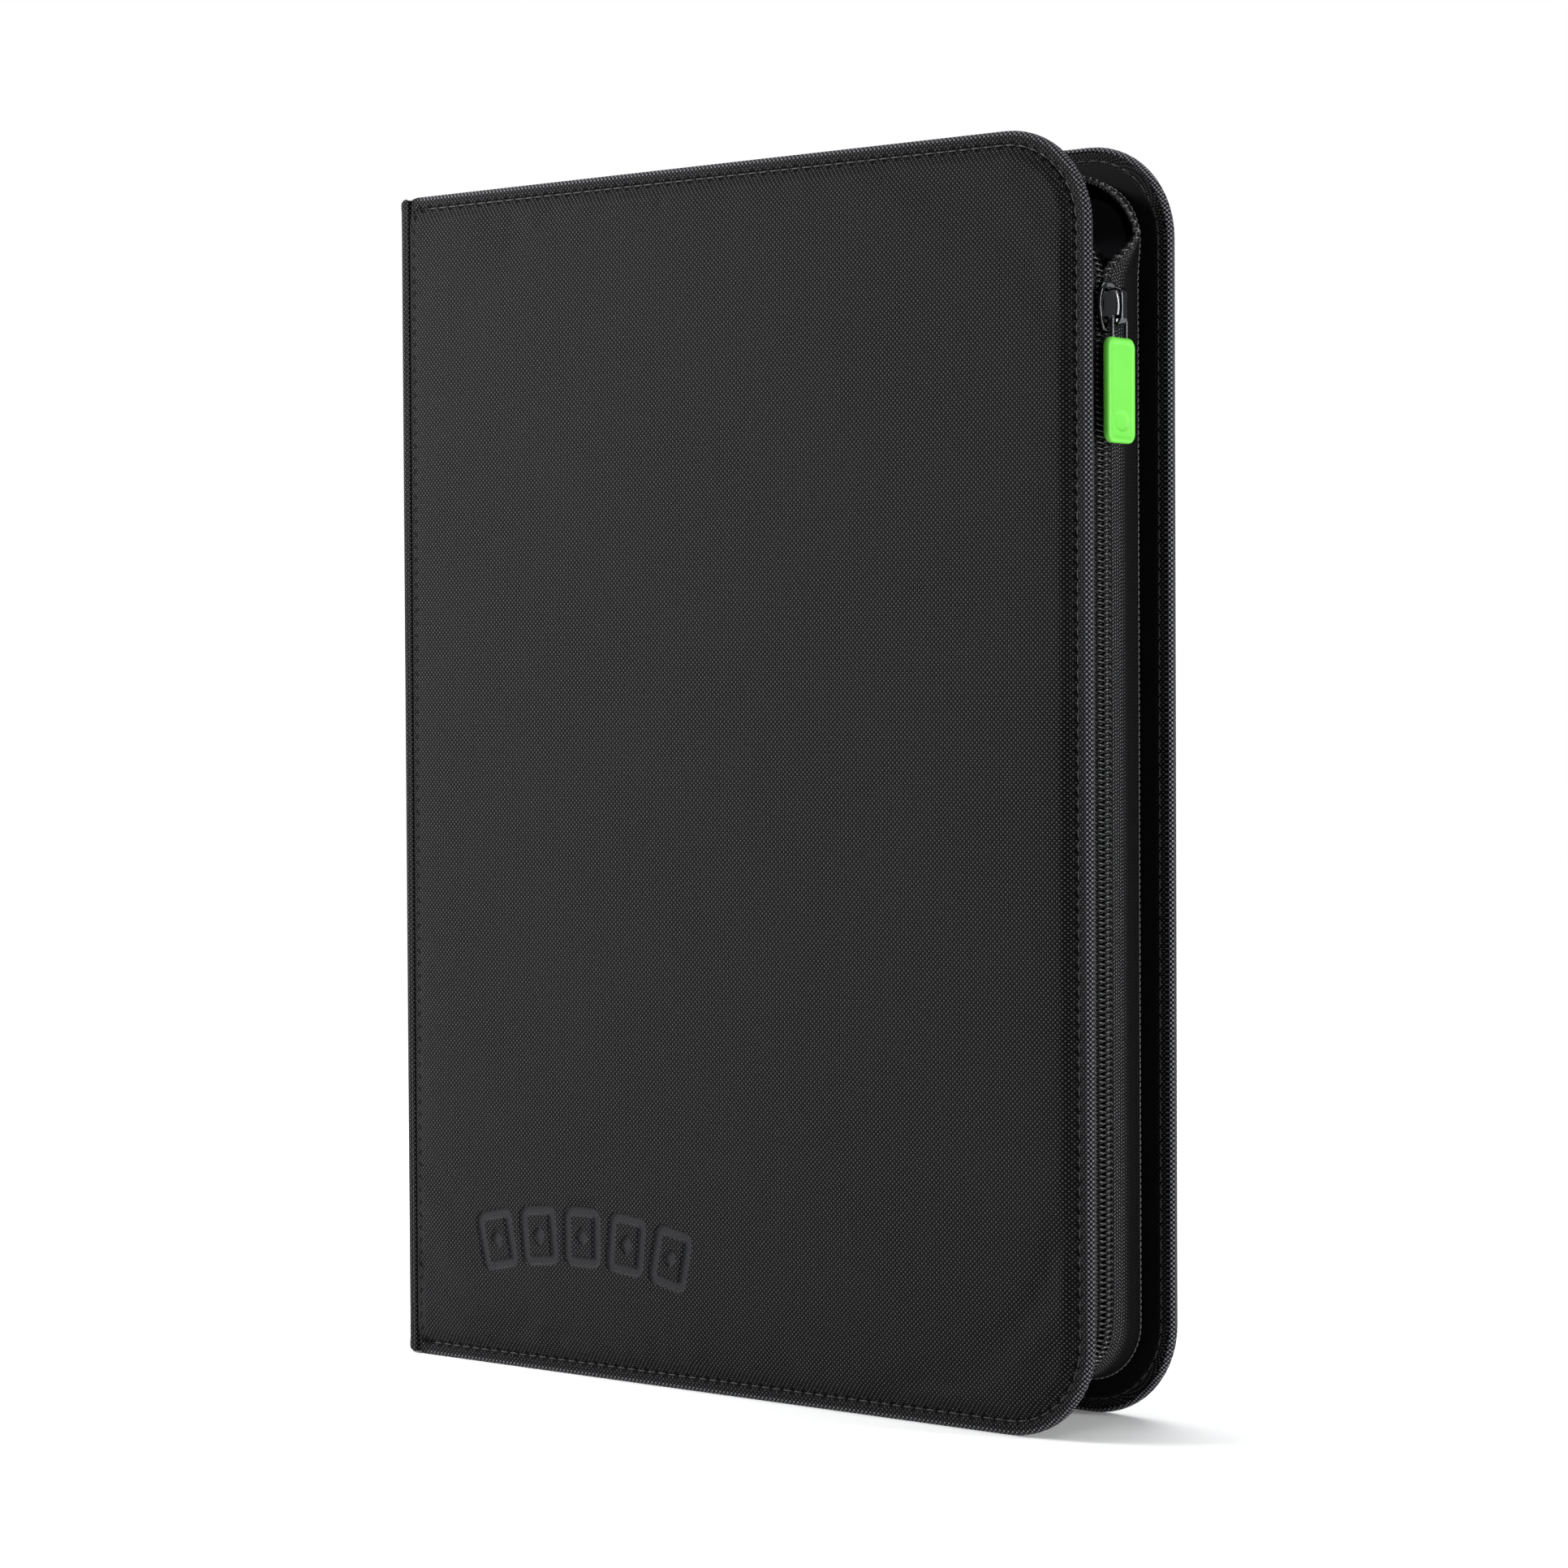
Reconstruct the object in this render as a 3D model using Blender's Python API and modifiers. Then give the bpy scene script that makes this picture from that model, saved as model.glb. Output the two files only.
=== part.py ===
"""Zip-around trading card binder, standing on its bottom edges.

The spine is at -X and the zipped fore-edge at +X.  The front cover faces -Y and the
back cover faces +Y, and +Z is up.  The origin is under the middle of the object.
Both covers hinge on the creases beside the spine, the card leaves fan on a binding
strip, the slider runs along the straight part of the fore-edge, and its pull swings
on the slider's crown.  All sizes are in metres.
"""

import math

import bmesh
import bpy
from mathutils import Vector

# Overall size
WIDTH = 0.2445
HEIGHT = 0.340
THICKNESS = 0.045
CORNER_RADIUS = 0.026
GAP = 0.00025

# A cover, layer by layer from its outer face inwards
FABRIC = 0.0005
FOAM = 0.0010
BOARD = 0.0015
LINING = 0.00045
COVER = FABRIC + FOAM + BOARD + LINING + 3 * GAP
EDGE_ROUNDING = 0.0013
TURNED_IN = 0.0105
TURNED_IN_SPINE = 0.003

# Spine and creases
SPINE_DEPTH = 0.0085
CREASE = 0.0027
SPINE_HALF = 0.0211
SPINE_ROUNDNESS = 2.4
SPINE_BOARD = 0.0018
CREASE_DEPTH = 0.0020
HINGE_STRIP = 0.00045
STRIP_END = 0.001
SPINE_BOARD_SIDE = 0.0022
LINING_OVERLAP = 0.0010

# Card leaves
LEAVES = 20
LEAF_PITCH = 0.0016
LEAF_THICKNESS = 0.0005
LEAF_WIDTH = 0.2155
LEAF_HEIGHT = 0.285
LEAF_CORNER = 0.003
BINDING_DEPTH = 0.003
BINDING_MARGIN = 0.0025
BINDING_SIDE = 0.0007
LEAF_AXIS_OUT = 0.0009

# Zip
ZIP_INSET = 0.0097
ZIP_START = 0.014
TAPE = 0.0006
COIL_RADIUS = 0.0010
COIL_OFFSET = 0.0016
FRONT_LEAN = math.radians(-30)
BACK_LEAN = math.radians(31)
BACK_LEAN_TOP = math.radians(-9)
FRONT_OPENING_RUN = 0.022
BACK_OPENING_RUN = 0.012
STOP_LENGTH = 0.003
STOP_WIDTH = 0.0026
STOP_EDGE = 0.0004

# Slider, measured from its centre on the chain
SLIDER_HEIGHT = 0.2950
SLIDER_TOP = 0.0070
SLIDER_BOTTOM = 0.0065
SLIDER_HALF_WIDTH = 0.0050
PLATE = 0.0011
PLATE_INNER = 0.00160
PLATE_EDGE = 0.0003
FLANGE_INNER = 0.0031
FLANGE = 0.0010
FLANGE_LENGTH = 0.0085
FLANGE_DROP = 0.0012
TAPE_SLOT = 0.00075
WEB = 0.0003
WEB_LENGTH = 0.0045
WEB_RISE = 0.0038
CROWN_HALF_LENGTH = 0.0050
CROWN_WALL = 0.0009
CROWN_HALF_WIDTH = 0.0016
CROWN_RISE = 0.0072
CROWN_BEND = 0.0020

# Pull
PULL_OUT = 0.0053
PULL_DOWN = 0.0030
WIRE_RADIUS = 0.00055
LINK_HALF_WIDTH = 0.0033
LINK_BEND = 0.0010
LINK_REACH = 0.0103
TAB_DROP = 0.0054
TAB_WIDTH = 0.0130
TAB_LENGTH = 0.0275
TAB_THICKNESS = 0.0022
TAB_CORNER = 0.0028
TAB_ROUNDING = 0.0005
TAB_HOLE_RADIUS = 0.0008
HOLE_OVERRUN = 0.001

# Places that follow from the sizes
FORE_EDGE = WIDTH / 2
PANEL_START = -WIDTH / 2 + SPINE_DEPTH
HINGE_X = PANEL_START - CREASE / 2
SPINE_FRONT = PANEL_START - CREASE
HINGE_Y = THICKNESS / 2 - CREASE_DEPTH
LINING_FACE = THICKNESS / 2 - COVER
TAPE_BASE = LINING_FACE - GAP
TAPE_REACH = TAPE_BASE - COIL_OFFSET
CHAIN_X = FORE_EDGE - ZIP_INSET
LEAF_FOOT = (HEIGHT - LEAF_HEIGHT) / 2
SIDES = {"front": -1, "back": 1}
OPENING_RUNS = {"front": FRONT_OPENING_RUN, "back": BACK_OPENING_RUN}
LEANS = {"front": (FRONT_LEAN, FRONT_LEAN), "back": (BACK_LEAN, BACK_LEAN_TOP)}

ARC_STEPS = 8
WELD = 0.000001
BLACK = (0.012, 0.012, 0.014)
CLOTH = (0.022, 0.022, 0.025)
GREY = (0.030, 0.030, 0.033)
BOARD_GREY = (0.20, 0.19, 0.18)
FOAM_GREY = (0.10, 0.10, 0.11)
LIME = (0.13, 0.72, 0.06)


def clear_scene():
    for item in list(bpy.data.objects):
        bpy.data.objects.remove(item, do_unlink=True)


def new_collection(name):
    group = bpy.data.collections.new(name)
    bpy.context.scene.collection.children.link(group)
    return group


def make_material(name, colour, roughness, metallic=0.0):
    material = bpy.data.materials.new(name)
    material.use_nodes = True
    shader = material.node_tree.nodes["Principled BSDF"]
    shader.inputs["Base Color"].default_value = (*colour, 1.0)
    shader.inputs["Roughness"].default_value = roughness
    shader.inputs["Metallic"].default_value = metallic
    return material


def add_part(name, data, colour, roughness, metallic=0.0, parent=None):
    """One named object of the binder, hung from its hinge empty where it moves."""
    part = bpy.data.objects.new(name, data)
    PARTS.objects.link(part)
    data.materials.append(make_material(name, colour, roughness, metallic))
    if parent:
        part.parent = parent
        part.matrix_parent_inverse = parent.matrix_world.inverted()
    return part


def add_cutter(name, data):
    cutter = bpy.data.objects.new(name, data)
    CUTTERS.objects.link(cutter)
    cutter.hide_render = True
    cutter.display_type = "WIRE"
    return cutter


def add_pivot(name, place):
    pivot = bpy.data.objects.new(name, None)
    pivot.location = place
    PARTS.objects.link(pivot)
    bpy.context.view_layer.update()
    return pivot


def cut(part, tool, operation="DIFFERENCE"):
    boolean = part.modifiers.new(tool.name, "BOOLEAN")
    boolean.operation = operation
    boolean.solver = "EXACT"
    boolean.object = tool


# Flat shapes: an outline of 2D points, given a thickness


def arc(centre, radius, start, end, steps=ARC_STEPS):
    angles = [math.radians(start + (end - start) * k / steps) for k in range(steps + 1)]
    return [(centre[0] + radius * math.cos(a), centre[1] + radius * math.sin(a)) for a in angles]


def cover_outline(inset, spine_inset):
    """Square corners at the spine, round corners at the fore-edge."""
    radius = CORNER_RADIUS - inset
    centre_x = FORE_EDGE - CORNER_RADIUS
    left = PANEL_START + spine_inset
    points = [(left, HEIGHT - inset), (left, inset)]
    points += arc((centre_x, CORNER_RADIUS), radius, -90, 0)
    points += arc((centre_x, HEIGHT - CORNER_RADIUS), radius, 0, 90)
    return points


def rounded_rectangle(low, high, radius):
    corners = [
        ((high[0] - radius, low[1] + radius), -90),
        ((high[0] - radius, high[1] - radius), 0),
        ((low[0] + radius, high[1] - radius), 90),
        ((low[0] + radius, low[1] + radius), 180),
    ]
    points = []
    for centre, start in corners:
        points += arc(centre, radius, start, start + 90, 4)
    return points


def rectangle(low, high):
    return [low, (high[0], low[1]), high, (low[0], high[1])]


def filled_curve(name, outline, thickness, rounding=0.0):
    """A slab of the outline in its local XY plane, centred on its local z = 0."""
    curve = bpy.data.curves.new(name, "CURVE")
    curve.dimensions = "2D"
    curve.fill_mode = "BOTH"
    curve.extrude = thickness / 2 - rounding
    curve.bevel_depth = rounding
    curve.bevel_resolution = 2
    spline = curve.splines.new("POLY")
    spline.points.add(len(outline) - 1)
    for point, place in zip(spline.points, outline):
        point.co = (*place, 0.0, 1.0)
    spline.use_cyclic_u = True
    return curve


def welded_mesh(name, curve, move=(0, 0, 0), turn=(0, 0, 0)):
    """The curve's closed mesh, turned and then moved to its place."""
    helper = bpy.data.objects.new(name, curve)
    helper.location = move
    helper.rotation_euler = turn
    bpy.context.scene.collection.objects.link(helper)
    graph = bpy.context.evaluated_depsgraph_get()
    mesh = bpy.data.meshes.new_from_object(helper.evaluated_get(graph))
    mesh.name = name
    mesh.transform(helper.matrix_world)
    body = bmesh.new()
    body.from_mesh(mesh)
    bmesh.ops.remove_doubles(body, verts=body.verts, dist=WELD)
    bmesh.ops.recalc_face_normals(body, faces=body.faces)
    body.to_mesh(mesh)
    body.free()
    bpy.data.objects.remove(helper)
    bpy.data.curves.remove(curve)
    return mesh


def upright_slab(name, outline, y_low, y_high, rounding=0.0):
    """A slab whose outline lies in the XZ plane."""
    curve = filled_curve(name, outline, y_high - y_low, rounding)
    return welded_mesh(name, curve, (0, (y_low + y_high) / 2, 0), (math.pi / 2, 0, 0))


def floor_slab(name, outline, z_low, z_high):
    """A slab whose outline lies in the XY plane, such as a length of the spine."""
    curve = filled_curve(name, outline, z_high - z_low)
    return welded_mesh(name, curve, (0, 0, (z_low + z_high) / 2))


def facing_slab(name, outline, x_low, x_high, rounding=0.0):
    """A slab whose outline lies in the YZ plane, facing the fore-edge."""
    curve = filled_curve(name, outline, x_high - x_low, rounding)
    turn = (math.pi / 2, 0, math.pi / 2)
    return welded_mesh(name, curve, ((x_low + x_high) / 2, 0, 0), turn)


# Covers


def layer(side, outer_depth, inner_depth):
    """The y span of a layer, from its depths below the cover's outer face."""
    ends = [side * (THICKNESS / 2 - depth) for depth in (outer_depth, inner_depth)]
    return min(ends), max(ends)


def cover_fabric(name, side, hinge):
    """A tray that wraps the foam and board and turns in round the lining."""
    outer = cover_outline(EDGE_ROUNDING, EDGE_ROUNDING)
    y_span = layer(side, 0, COVER)
    mesh = upright_slab(name + "_cover_fabric", outer, *y_span, EDGE_ROUNDING)
    tray = add_part(mesh.name, mesh, CLOTH, 0.6, parent=hinge)
    hollow = cover_outline(FABRIC, FABRIC)
    hollow_mesh = upright_slab(name + "_hollow", hollow, *layer(side, FABRIC, COVER - LINING))
    cut(tray, add_cutter(hollow_mesh.name, hollow_mesh))
    window = cover_outline(TURNED_IN, TURNED_IN_SPINE)
    window_mesh = upright_slab(name + "_window", window, *layer(side, COVER / 2, COVER + GAP))
    cut(tray, add_cutter(window_mesh.name, window_mesh))


def cover_layers(name, side, hinge):
    inside = cover_outline(EDGE_ROUNDING, EDGE_ROUNDING)
    foam_top = FABRIC + GAP
    board_top = foam_top + FOAM + GAP
    lining_top = board_top + BOARD + GAP
    foam = upright_slab(name + "_cover_foam", inside, *layer(side, foam_top, foam_top + FOAM))
    add_part(foam.name, foam, FOAM_GREY, 0.95, parent=hinge)
    board = upright_slab(name + "_cover_board", inside, *layer(side, board_top, board_top + BOARD))
    add_part(board.name, board, BOARD_GREY, 0.9, parent=hinge)
    panel = cover_outline(TURNED_IN + GAP, TURNED_IN_SPINE + GAP)
    lining = upright_slab(name + "_cover_lining", panel, *layer(side, lining_top, COVER))
    add_part(lining.name, lining, BLACK, 0.45, parent=hinge)


# Spine


def spine_arch(inset, steps=24):
    """The spine's rounded back, from the back crease to the front crease."""
    depth = SPINE_DEPTH - CREASE - inset
    half = SPINE_HALF - inset
    points = []
    for k in range(steps + 1):
        angle = math.pi / 2 - math.pi * k / steps
        along = math.copysign(abs(math.sin(angle)) ** (2 / SPINE_ROUNDNESS), math.sin(angle))
        out = max(math.cos(angle), 0.0) ** (2 / SPINE_ROUNDNESS)
        points.append((SPINE_FRONT - depth * out, half * along))
    return points


def spine_pieces():
    shell = spine_arch(0) + spine_arch(FABRIC)[::-1]
    fabric = floor_slab("spine_fabric", shell, 0, HEIGHT)
    add_part(fabric.name, fabric, GREY, 0.55)

    lining_x = SPINE_FRONT - GAP
    board_x = lining_x - LINING - GAP
    padding_x = board_x - SPINE_BOARD - GAP
    inset = FABRIC + GAP
    half_board = SPINE_HALF - inset - SPINE_BOARD_SIDE
    low = EDGE_ROUNDING
    high = HEIGHT - EDGE_ROUNDING
    bow = [point for point in spine_arch(inset) if point[0] < padding_x]
    padding = floor_slab("spine_padding", bow, low, high)
    add_part(padding.name, padding, FOAM_GREY, 0.95)
    board_outline = rectangle((board_x - SPINE_BOARD, -half_board), (board_x, half_board))
    board = floor_slab("spine_board", board_outline, low, high)
    add_part(board.name, board, BOARD_GREY, 0.9)
    half_lining = half_board + LINING_OVERLAP
    lining_outline = rectangle((lining_x - LINING, -half_lining), (lining_x, half_lining))
    lining = floor_slab("spine_lining", lining_outline, low, high)
    add_part(lining.name, lining, BLACK, 0.45)


def hinge_strip(name, side):
    reach = CREASE / 2 - GAP
    inner = side * HINGE_Y
    outer = side * (HINGE_Y + HINGE_STRIP)
    low = (HINGE_X - reach, min(inner, outer))
    high = (HINGE_X + reach, max(inner, outer))
    strip = floor_slab(name + "_hinge_strip", rectangle(low, high), STRIP_END, HEIGHT - STRIP_END)
    add_part(strip.name, strip, BLACK, 0.6)


# Card leaves


def binding_face():
    return SPINE_FRONT + GAP + BINDING_DEPTH


def page_binding():
    half = LEAVES * LEAF_PITCH / 2 + BINDING_SIDE
    low = (SPINE_FRONT + GAP, -half)
    outline = rectangle(low, (binding_face(), half))
    foot = LEAF_FOOT - BINDING_MARGIN
    strip = floor_slab("page_binding", outline, foot, HEIGHT - foot)
    add_part(strip.name, strip, BLACK, 0.5)


def card_leaf(index):
    """Leaf 1 lies next to the front cover; each turns on its own edge."""
    y = (index - (LEAVES + 1) / 2) * LEAF_PITCH
    axis = (binding_face() + LEAF_AXIS_OUT, y, 0)
    name = f"leaf_{index:02d}"
    pivot = add_pivot(name + "_hinge", axis)
    low = (axis[0] + GAP, LEAF_FOOT)
    high = (low[0] + LEAF_WIDTH, LEAF_FOOT + LEAF_HEIGHT)
    outline = rounded_rectangle(low, high, LEAF_CORNER)
    half = LEAF_THICKNESS / 2
    sheet = upright_slab(name, outline, y - half, y + half)
    add_part(name, sheet, BLACK, 0.3, parent=pivot)


# Zip


def zip_line():
    """Stations along the zip: place in XZ, outward direction, run past the slider's mouth."""
    radius = CORNER_RADIUS - ZIP_INSET
    centre_x = FORE_EDGE - CORNER_RADIUS
    start_x = PANEL_START + ZIP_START
    mouth = SLIDER_HEIGHT + SLIDER_TOP + GAP
    bottom = Vector((centre_x, CORNER_RADIUS))
    top = Vector((centre_x, HEIGHT - CORNER_RADIUS))
    stations = [(Vector((start_x, ZIP_INSET)), Vector((0, -1)), 0.0)]
    for k in range(ARC_STEPS + 1):
        angle = math.radians(-90 + 90 * k / ARC_STEPS)
        out = Vector((math.cos(angle), math.sin(angle)))
        stations.append((bottom + radius * out, out, 0.0))
    right = Vector((1, 0))
    stations.append((Vector((CHAIN_X, mouth)), right, 0.0))
    rise = top.y - mouth
    for k in range(1, 6):
        run = rise * k / 6
        stations.append((Vector((CHAIN_X, mouth + run)), right, run))
    for k in range(ARC_STEPS + 1):
        angle = math.radians(90 * k / ARC_STEPS)
        out = Vector((math.cos(angle), math.sin(angle)))
        stations.append((top + radius * out, out, rise + radius * angle))
    last_run = rise + radius * math.pi / 2
    far = last_run + centre_x - start_x
    stations.append((Vector((start_x, HEIGHT - ZIP_INSET)), Vector((0, 1)), far))
    return stations


def opened(run, length):
    """0 where the zip is closed, rising smoothly to 1 along the opening run."""
    share = min(run / length, 1.0)
    return share * share * (3 - 2 * share)


def across_tape(name, station, reach):
    """The point on one tape at a distance from its sewn edge, at one station."""
    place, out, run = station
    side = SIDES[name]
    beside, above = LEANS[name]
    turned = max(math.atan2(out.y, out.x), 0.0) / (math.pi / 2)
    lean = (beside + (above - beside) * turned) * opened(run, OPENING_RUNS[name])
    moved = place + out * (reach * math.sin(lean))
    y = side * (TAPE_BASE - reach * math.cos(lean))
    return Vector((moved.x, y, moved.y))


def zip_tape(name, hinge):
    """A ribbon standing on the cover's border, thickened to its middle."""
    edge_reach = TAPE_REACH - COIL_RADIUS - GAP
    ribbon = bmesh.new()
    rows = []
    for station in zip_line():
        rows.append([ribbon.verts.new(across_tape(name, station, d)) for d in (0, edge_reach)])
    for near, far in zip(rows, rows[1:]):
        ribbon.faces.new((near[0], far[0], far[1], near[1]))
    bmesh.ops.recalc_face_normals(ribbon, faces=ribbon.faces)
    mesh = bpy.data.meshes.new(name + "_zip_tape")
    ribbon.to_mesh(mesh)
    ribbon.free()
    tape = add_part(mesh.name, mesh, BLACK, 0.75, parent=hinge)
    thicken = tape.modifiers.new("thickness", "SOLIDIFY")
    thicken.thickness = TAPE
    thicken.offset = 0


def wire(name, points, radius):
    """A round bead or wire along the points, closed at both ends."""
    curve = bpy.data.curves.new(name, "CURVE")
    curve.dimensions = "3D"
    curve.bevel_depth = radius
    curve.bevel_resolution = 2
    curve.use_fill_caps = True
    spline = curve.splines.new("POLY")
    spline.points.add(len(points) - 1)
    for point, place in zip(spline.points, points):
        point.co = (*place, 1.0)
    return curve


def zip_coil(name, hinge):
    points = [across_tape(name, station, TAPE_REACH) for station in zip_line()]
    curve = wire(name + "_zip_coil", points, COIL_RADIUS)
    add_part(curve.name, curve, BLACK, 0.35, parent=hinge)


def small_block(name, size, place):
    mesh = bpy.data.meshes.new(name)
    block = bmesh.new()
    bmesh.ops.create_cube(block, size=1.0)
    bmesh.ops.scale(block, vec=size, verts=block.verts)
    bmesh.ops.translate(block, vec=place, verts=block.verts)
    block.to_mesh(mesh)
    block.free()
    return mesh


def end_stop(name, end, station, hinge):
    """A block clamped past the spine end of a coil."""
    centre = across_tape(name, station, TAPE_REACH)
    centre.x -= STOP_LENGTH / 2 + GAP
    size = (STOP_LENGTH, STOP_WIDTH, STOP_WIDTH)
    mesh = small_block(f"{name}_{end}_stop", size, centre)
    stop = add_part(mesh.name, mesh, BLACK, 0.4, parent=hinge)
    bevel = stop.modifiers.new("edges", "BEVEL")
    bevel.width = STOP_EDGE
    bevel.segments = 2


# Slider and pull


def shield_outline():
    half = [
        (0.0, SLIDER_TOP),
        (0.0024, 0.0060),
        (0.0042, 0.0038),
        (SLIDER_HALF_WIDTH, 0.0010),
        (0.0047, -0.0030),
        (0.0042, -SLIDER_BOTTOM + 0.0008),
        (0.0034, -SLIDER_BOTTOM),
    ]
    mirrored = [(-y, z) for y, z in half[:0:-1]]
    return [(y, SLIDER_HEIGHT + z) for y, z in half + mirrored]


def slider_body(pivot):
    """Two plates joined by a thin web, with flanges that leave a slot for the tapes."""
    face = CHAIN_X + PLATE_INNER
    back = CHAIN_X - PLATE_INNER
    outer = facing_slab("slider_body", shield_outline(), face, face + PLATE, PLATE_EDGE)
    body = add_part(outer.name, outer, (0.05, 0.05, 0.055), 0.2, 1.0, pivot)
    inner = facing_slab("slider_inner_plate", shield_outline(), back - PLATE, back, PLATE_EDGE)
    cut(body, add_cutter(inner.name, inner), "UNION")
    web_size = (2 * (PLATE_INNER + PLATE / 2), 2 * WEB, WEB_LENGTH)
    web = small_block("slider_web", web_size, (CHAIN_X, 0, SLIDER_HEIGHT + WEB_RISE))
    cut(body, add_cutter(web.name, web), "UNION")
    flange_rise = PLATE_INNER + PLATE / 2 - TAPE_SLOT
    for y_sign in (-1, 1):
        for x_sign in (-1, 1):
            place = (
                CHAIN_X + x_sign * (TAPE_SLOT + flange_rise / 2),
                y_sign * (FLANGE_INNER + FLANGE / 2),
                SLIDER_HEIGHT - FLANGE_DROP,
            )
            flange = small_block("slider_flange", (flange_rise, FLANGE, FLANGE_LENGTH), place)
            cut(body, add_cutter(flange.name, flange), "UNION")


def slider_crown(pivot):
    """A strap arched over the slider's outer plate, open below for the link."""
    foot = CHAIN_X + PLATE_INNER + PLATE + GAP
    crown = CHAIN_X + CROWN_RISE
    centre = (crown - CROWN_BEND, CROWN_HALF_LENGTH - CROWN_BEND)
    arch = []
    for inset in (0, CROWN_WALL):
        bow = arc(centre, CROWN_BEND - inset, 0, 90, 5)
        side = bow + [(foot, CROWN_HALF_LENGTH - inset)]
        arch.append([(x, -z) for x, z in side[::-1]] + side)
    outline = [(x, SLIDER_HEIGHT + z) for x, z in arch[0] + arch[1][::-1]]
    strap = upright_slab("slider_crown", outline, -CROWN_HALF_WIDTH, CROWN_HALF_WIDTH)
    add_part(strap.name, strap, (0.05, 0.05, 0.055), 0.15, 1.0, pivot)


def pull_axis():
    return Vector((CHAIN_X + PULL_OUT, 0, SLIDER_HEIGHT - PULL_DOWN))


def pull_link(pivot):
    """A wire bent over the axis, both ends reaching down into the tab."""
    axis = pull_axis()
    bend = arc((LINK_HALF_WIDTH - LINK_BEND, -LINK_BEND), LINK_BEND, 0, 90, 4)
    side = [(LINK_HALF_WIDTH, -LINK_REACH)] + bend
    half = [Vector((axis.x, y, axis.z + z)) for y, z in side]
    other = [Vector((point.x, -point.y, point.z)) for point in half[::-1]]
    curve = wire("pull_link", half + other, WIRE_RADIUS)
    add_part(curve.name, curve, (0.06, 0.06, 0.065), 0.25, 1.0, pivot)


def pull_tab(pivot):
    axis = pull_axis()
    top = axis.z - TAB_DROP
    half = TAB_WIDTH / 2 - TAB_ROUNDING
    low = (-half, top - TAB_LENGTH + TAB_ROUNDING)
    outline = rounded_rectangle(low, (half, top - TAB_ROUNDING), TAB_CORNER - TAB_ROUNDING)
    reach = TAB_THICKNESS / 2
    mesh = facing_slab("pull_tab", outline, axis.x - reach, axis.x + reach, TAB_ROUNDING)
    tab = add_part(mesh.name, mesh, LIME, 0.45, parent=pivot)
    for sign, label in ((-1, "front"), (1, "back")):
        y = sign * LINK_HALF_WIDTH
        ends = [Vector((axis.x, y, top + HOLE_OVERRUN)), Vector((axis.x, y, axis.z - LINK_REACH - GAP))]
        hole = welded_mesh(label + "_tab_hole", wire("hole", ends, TAB_HOLE_RADIUS))
        cut(tab, add_cutter(hole.name, hole))


def build():
    spine_pieces()
    page_binding()
    stations = zip_line()
    hinges = {}
    for name, side in SIDES.items():
        hinge = add_pivot(name + "_cover_hinge", (HINGE_X, side * HINGE_Y, 0))
        hinges[name] = hinge
        hinge_strip(name, side)
        cover_fabric(name, side, hinge)
        cover_layers(name, side, hinge)
        zip_tape(name, hinge)
        zip_coil(name, hinge)
        end_stop(name, "bottom", stations[0], hinge)
        end_stop(name, "top", stations[-1], hinge)
    for index in range(1, LEAVES + 1):
        card_leaf(index)
    slider = add_pivot("slider_carriage", (CHAIN_X, 0, SLIDER_HEIGHT))
    slider_body(slider)
    slider_crown(slider)
    pull = add_pivot("pull_hinge", pull_axis())
    pull_link(pull)
    pull_tab(pull)


clear_scene()
PARTS = new_collection("trading_card_binder")
CUTTERS = new_collection("cutters")
build()
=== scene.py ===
"""Looks of the zip-around trading card binder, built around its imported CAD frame.

The front cover faces -Y, the spine is at -X and the zipped fore-edge at +X.  All sizes
are in metres.  A cover's outline points are (x, z), and a depth is the distance from
the binder's middle plane, so that one shape serves the front and the back.
"""

import math

import bmesh
import bpy
import numpy as np
from mathutils import Matrix, Vector, noise


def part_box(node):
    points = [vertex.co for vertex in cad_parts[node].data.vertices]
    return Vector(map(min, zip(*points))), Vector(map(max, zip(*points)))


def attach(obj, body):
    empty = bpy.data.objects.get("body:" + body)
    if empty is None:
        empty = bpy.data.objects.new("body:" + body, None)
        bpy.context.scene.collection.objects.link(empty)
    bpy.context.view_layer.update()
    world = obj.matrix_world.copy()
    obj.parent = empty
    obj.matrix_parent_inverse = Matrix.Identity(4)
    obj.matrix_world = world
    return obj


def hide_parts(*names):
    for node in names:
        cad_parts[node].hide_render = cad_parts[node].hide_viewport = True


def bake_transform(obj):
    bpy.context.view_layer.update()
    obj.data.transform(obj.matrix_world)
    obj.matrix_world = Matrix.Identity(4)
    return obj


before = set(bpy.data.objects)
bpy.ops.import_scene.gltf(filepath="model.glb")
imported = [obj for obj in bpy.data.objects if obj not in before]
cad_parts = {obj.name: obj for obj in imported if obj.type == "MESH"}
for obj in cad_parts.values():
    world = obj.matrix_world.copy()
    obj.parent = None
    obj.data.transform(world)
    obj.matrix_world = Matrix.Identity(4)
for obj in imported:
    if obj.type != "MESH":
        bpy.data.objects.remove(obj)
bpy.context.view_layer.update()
SIDES = {"front": -1, "back": 1}

# Places read from the frame
COVER_LOW, COVER_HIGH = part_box("back_cover_fabric")
PANEL_START, LINING_FACE = COVER_LOW.x, COVER_LOW.y
FORE_EDGE, FACE, HEIGHT = COVER_HIGH
SPINE_LOW, SPINE_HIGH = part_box("spine_fabric")
SPINE_FRONT, SPINE_HALF = SPINE_HIGH.x, SPINE_HIGH.y
SPINE_DEPTH = SPINE_FRONT - SPINE_LOW.x
HINGE_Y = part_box("back_hinge_strip")[0].y

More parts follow.
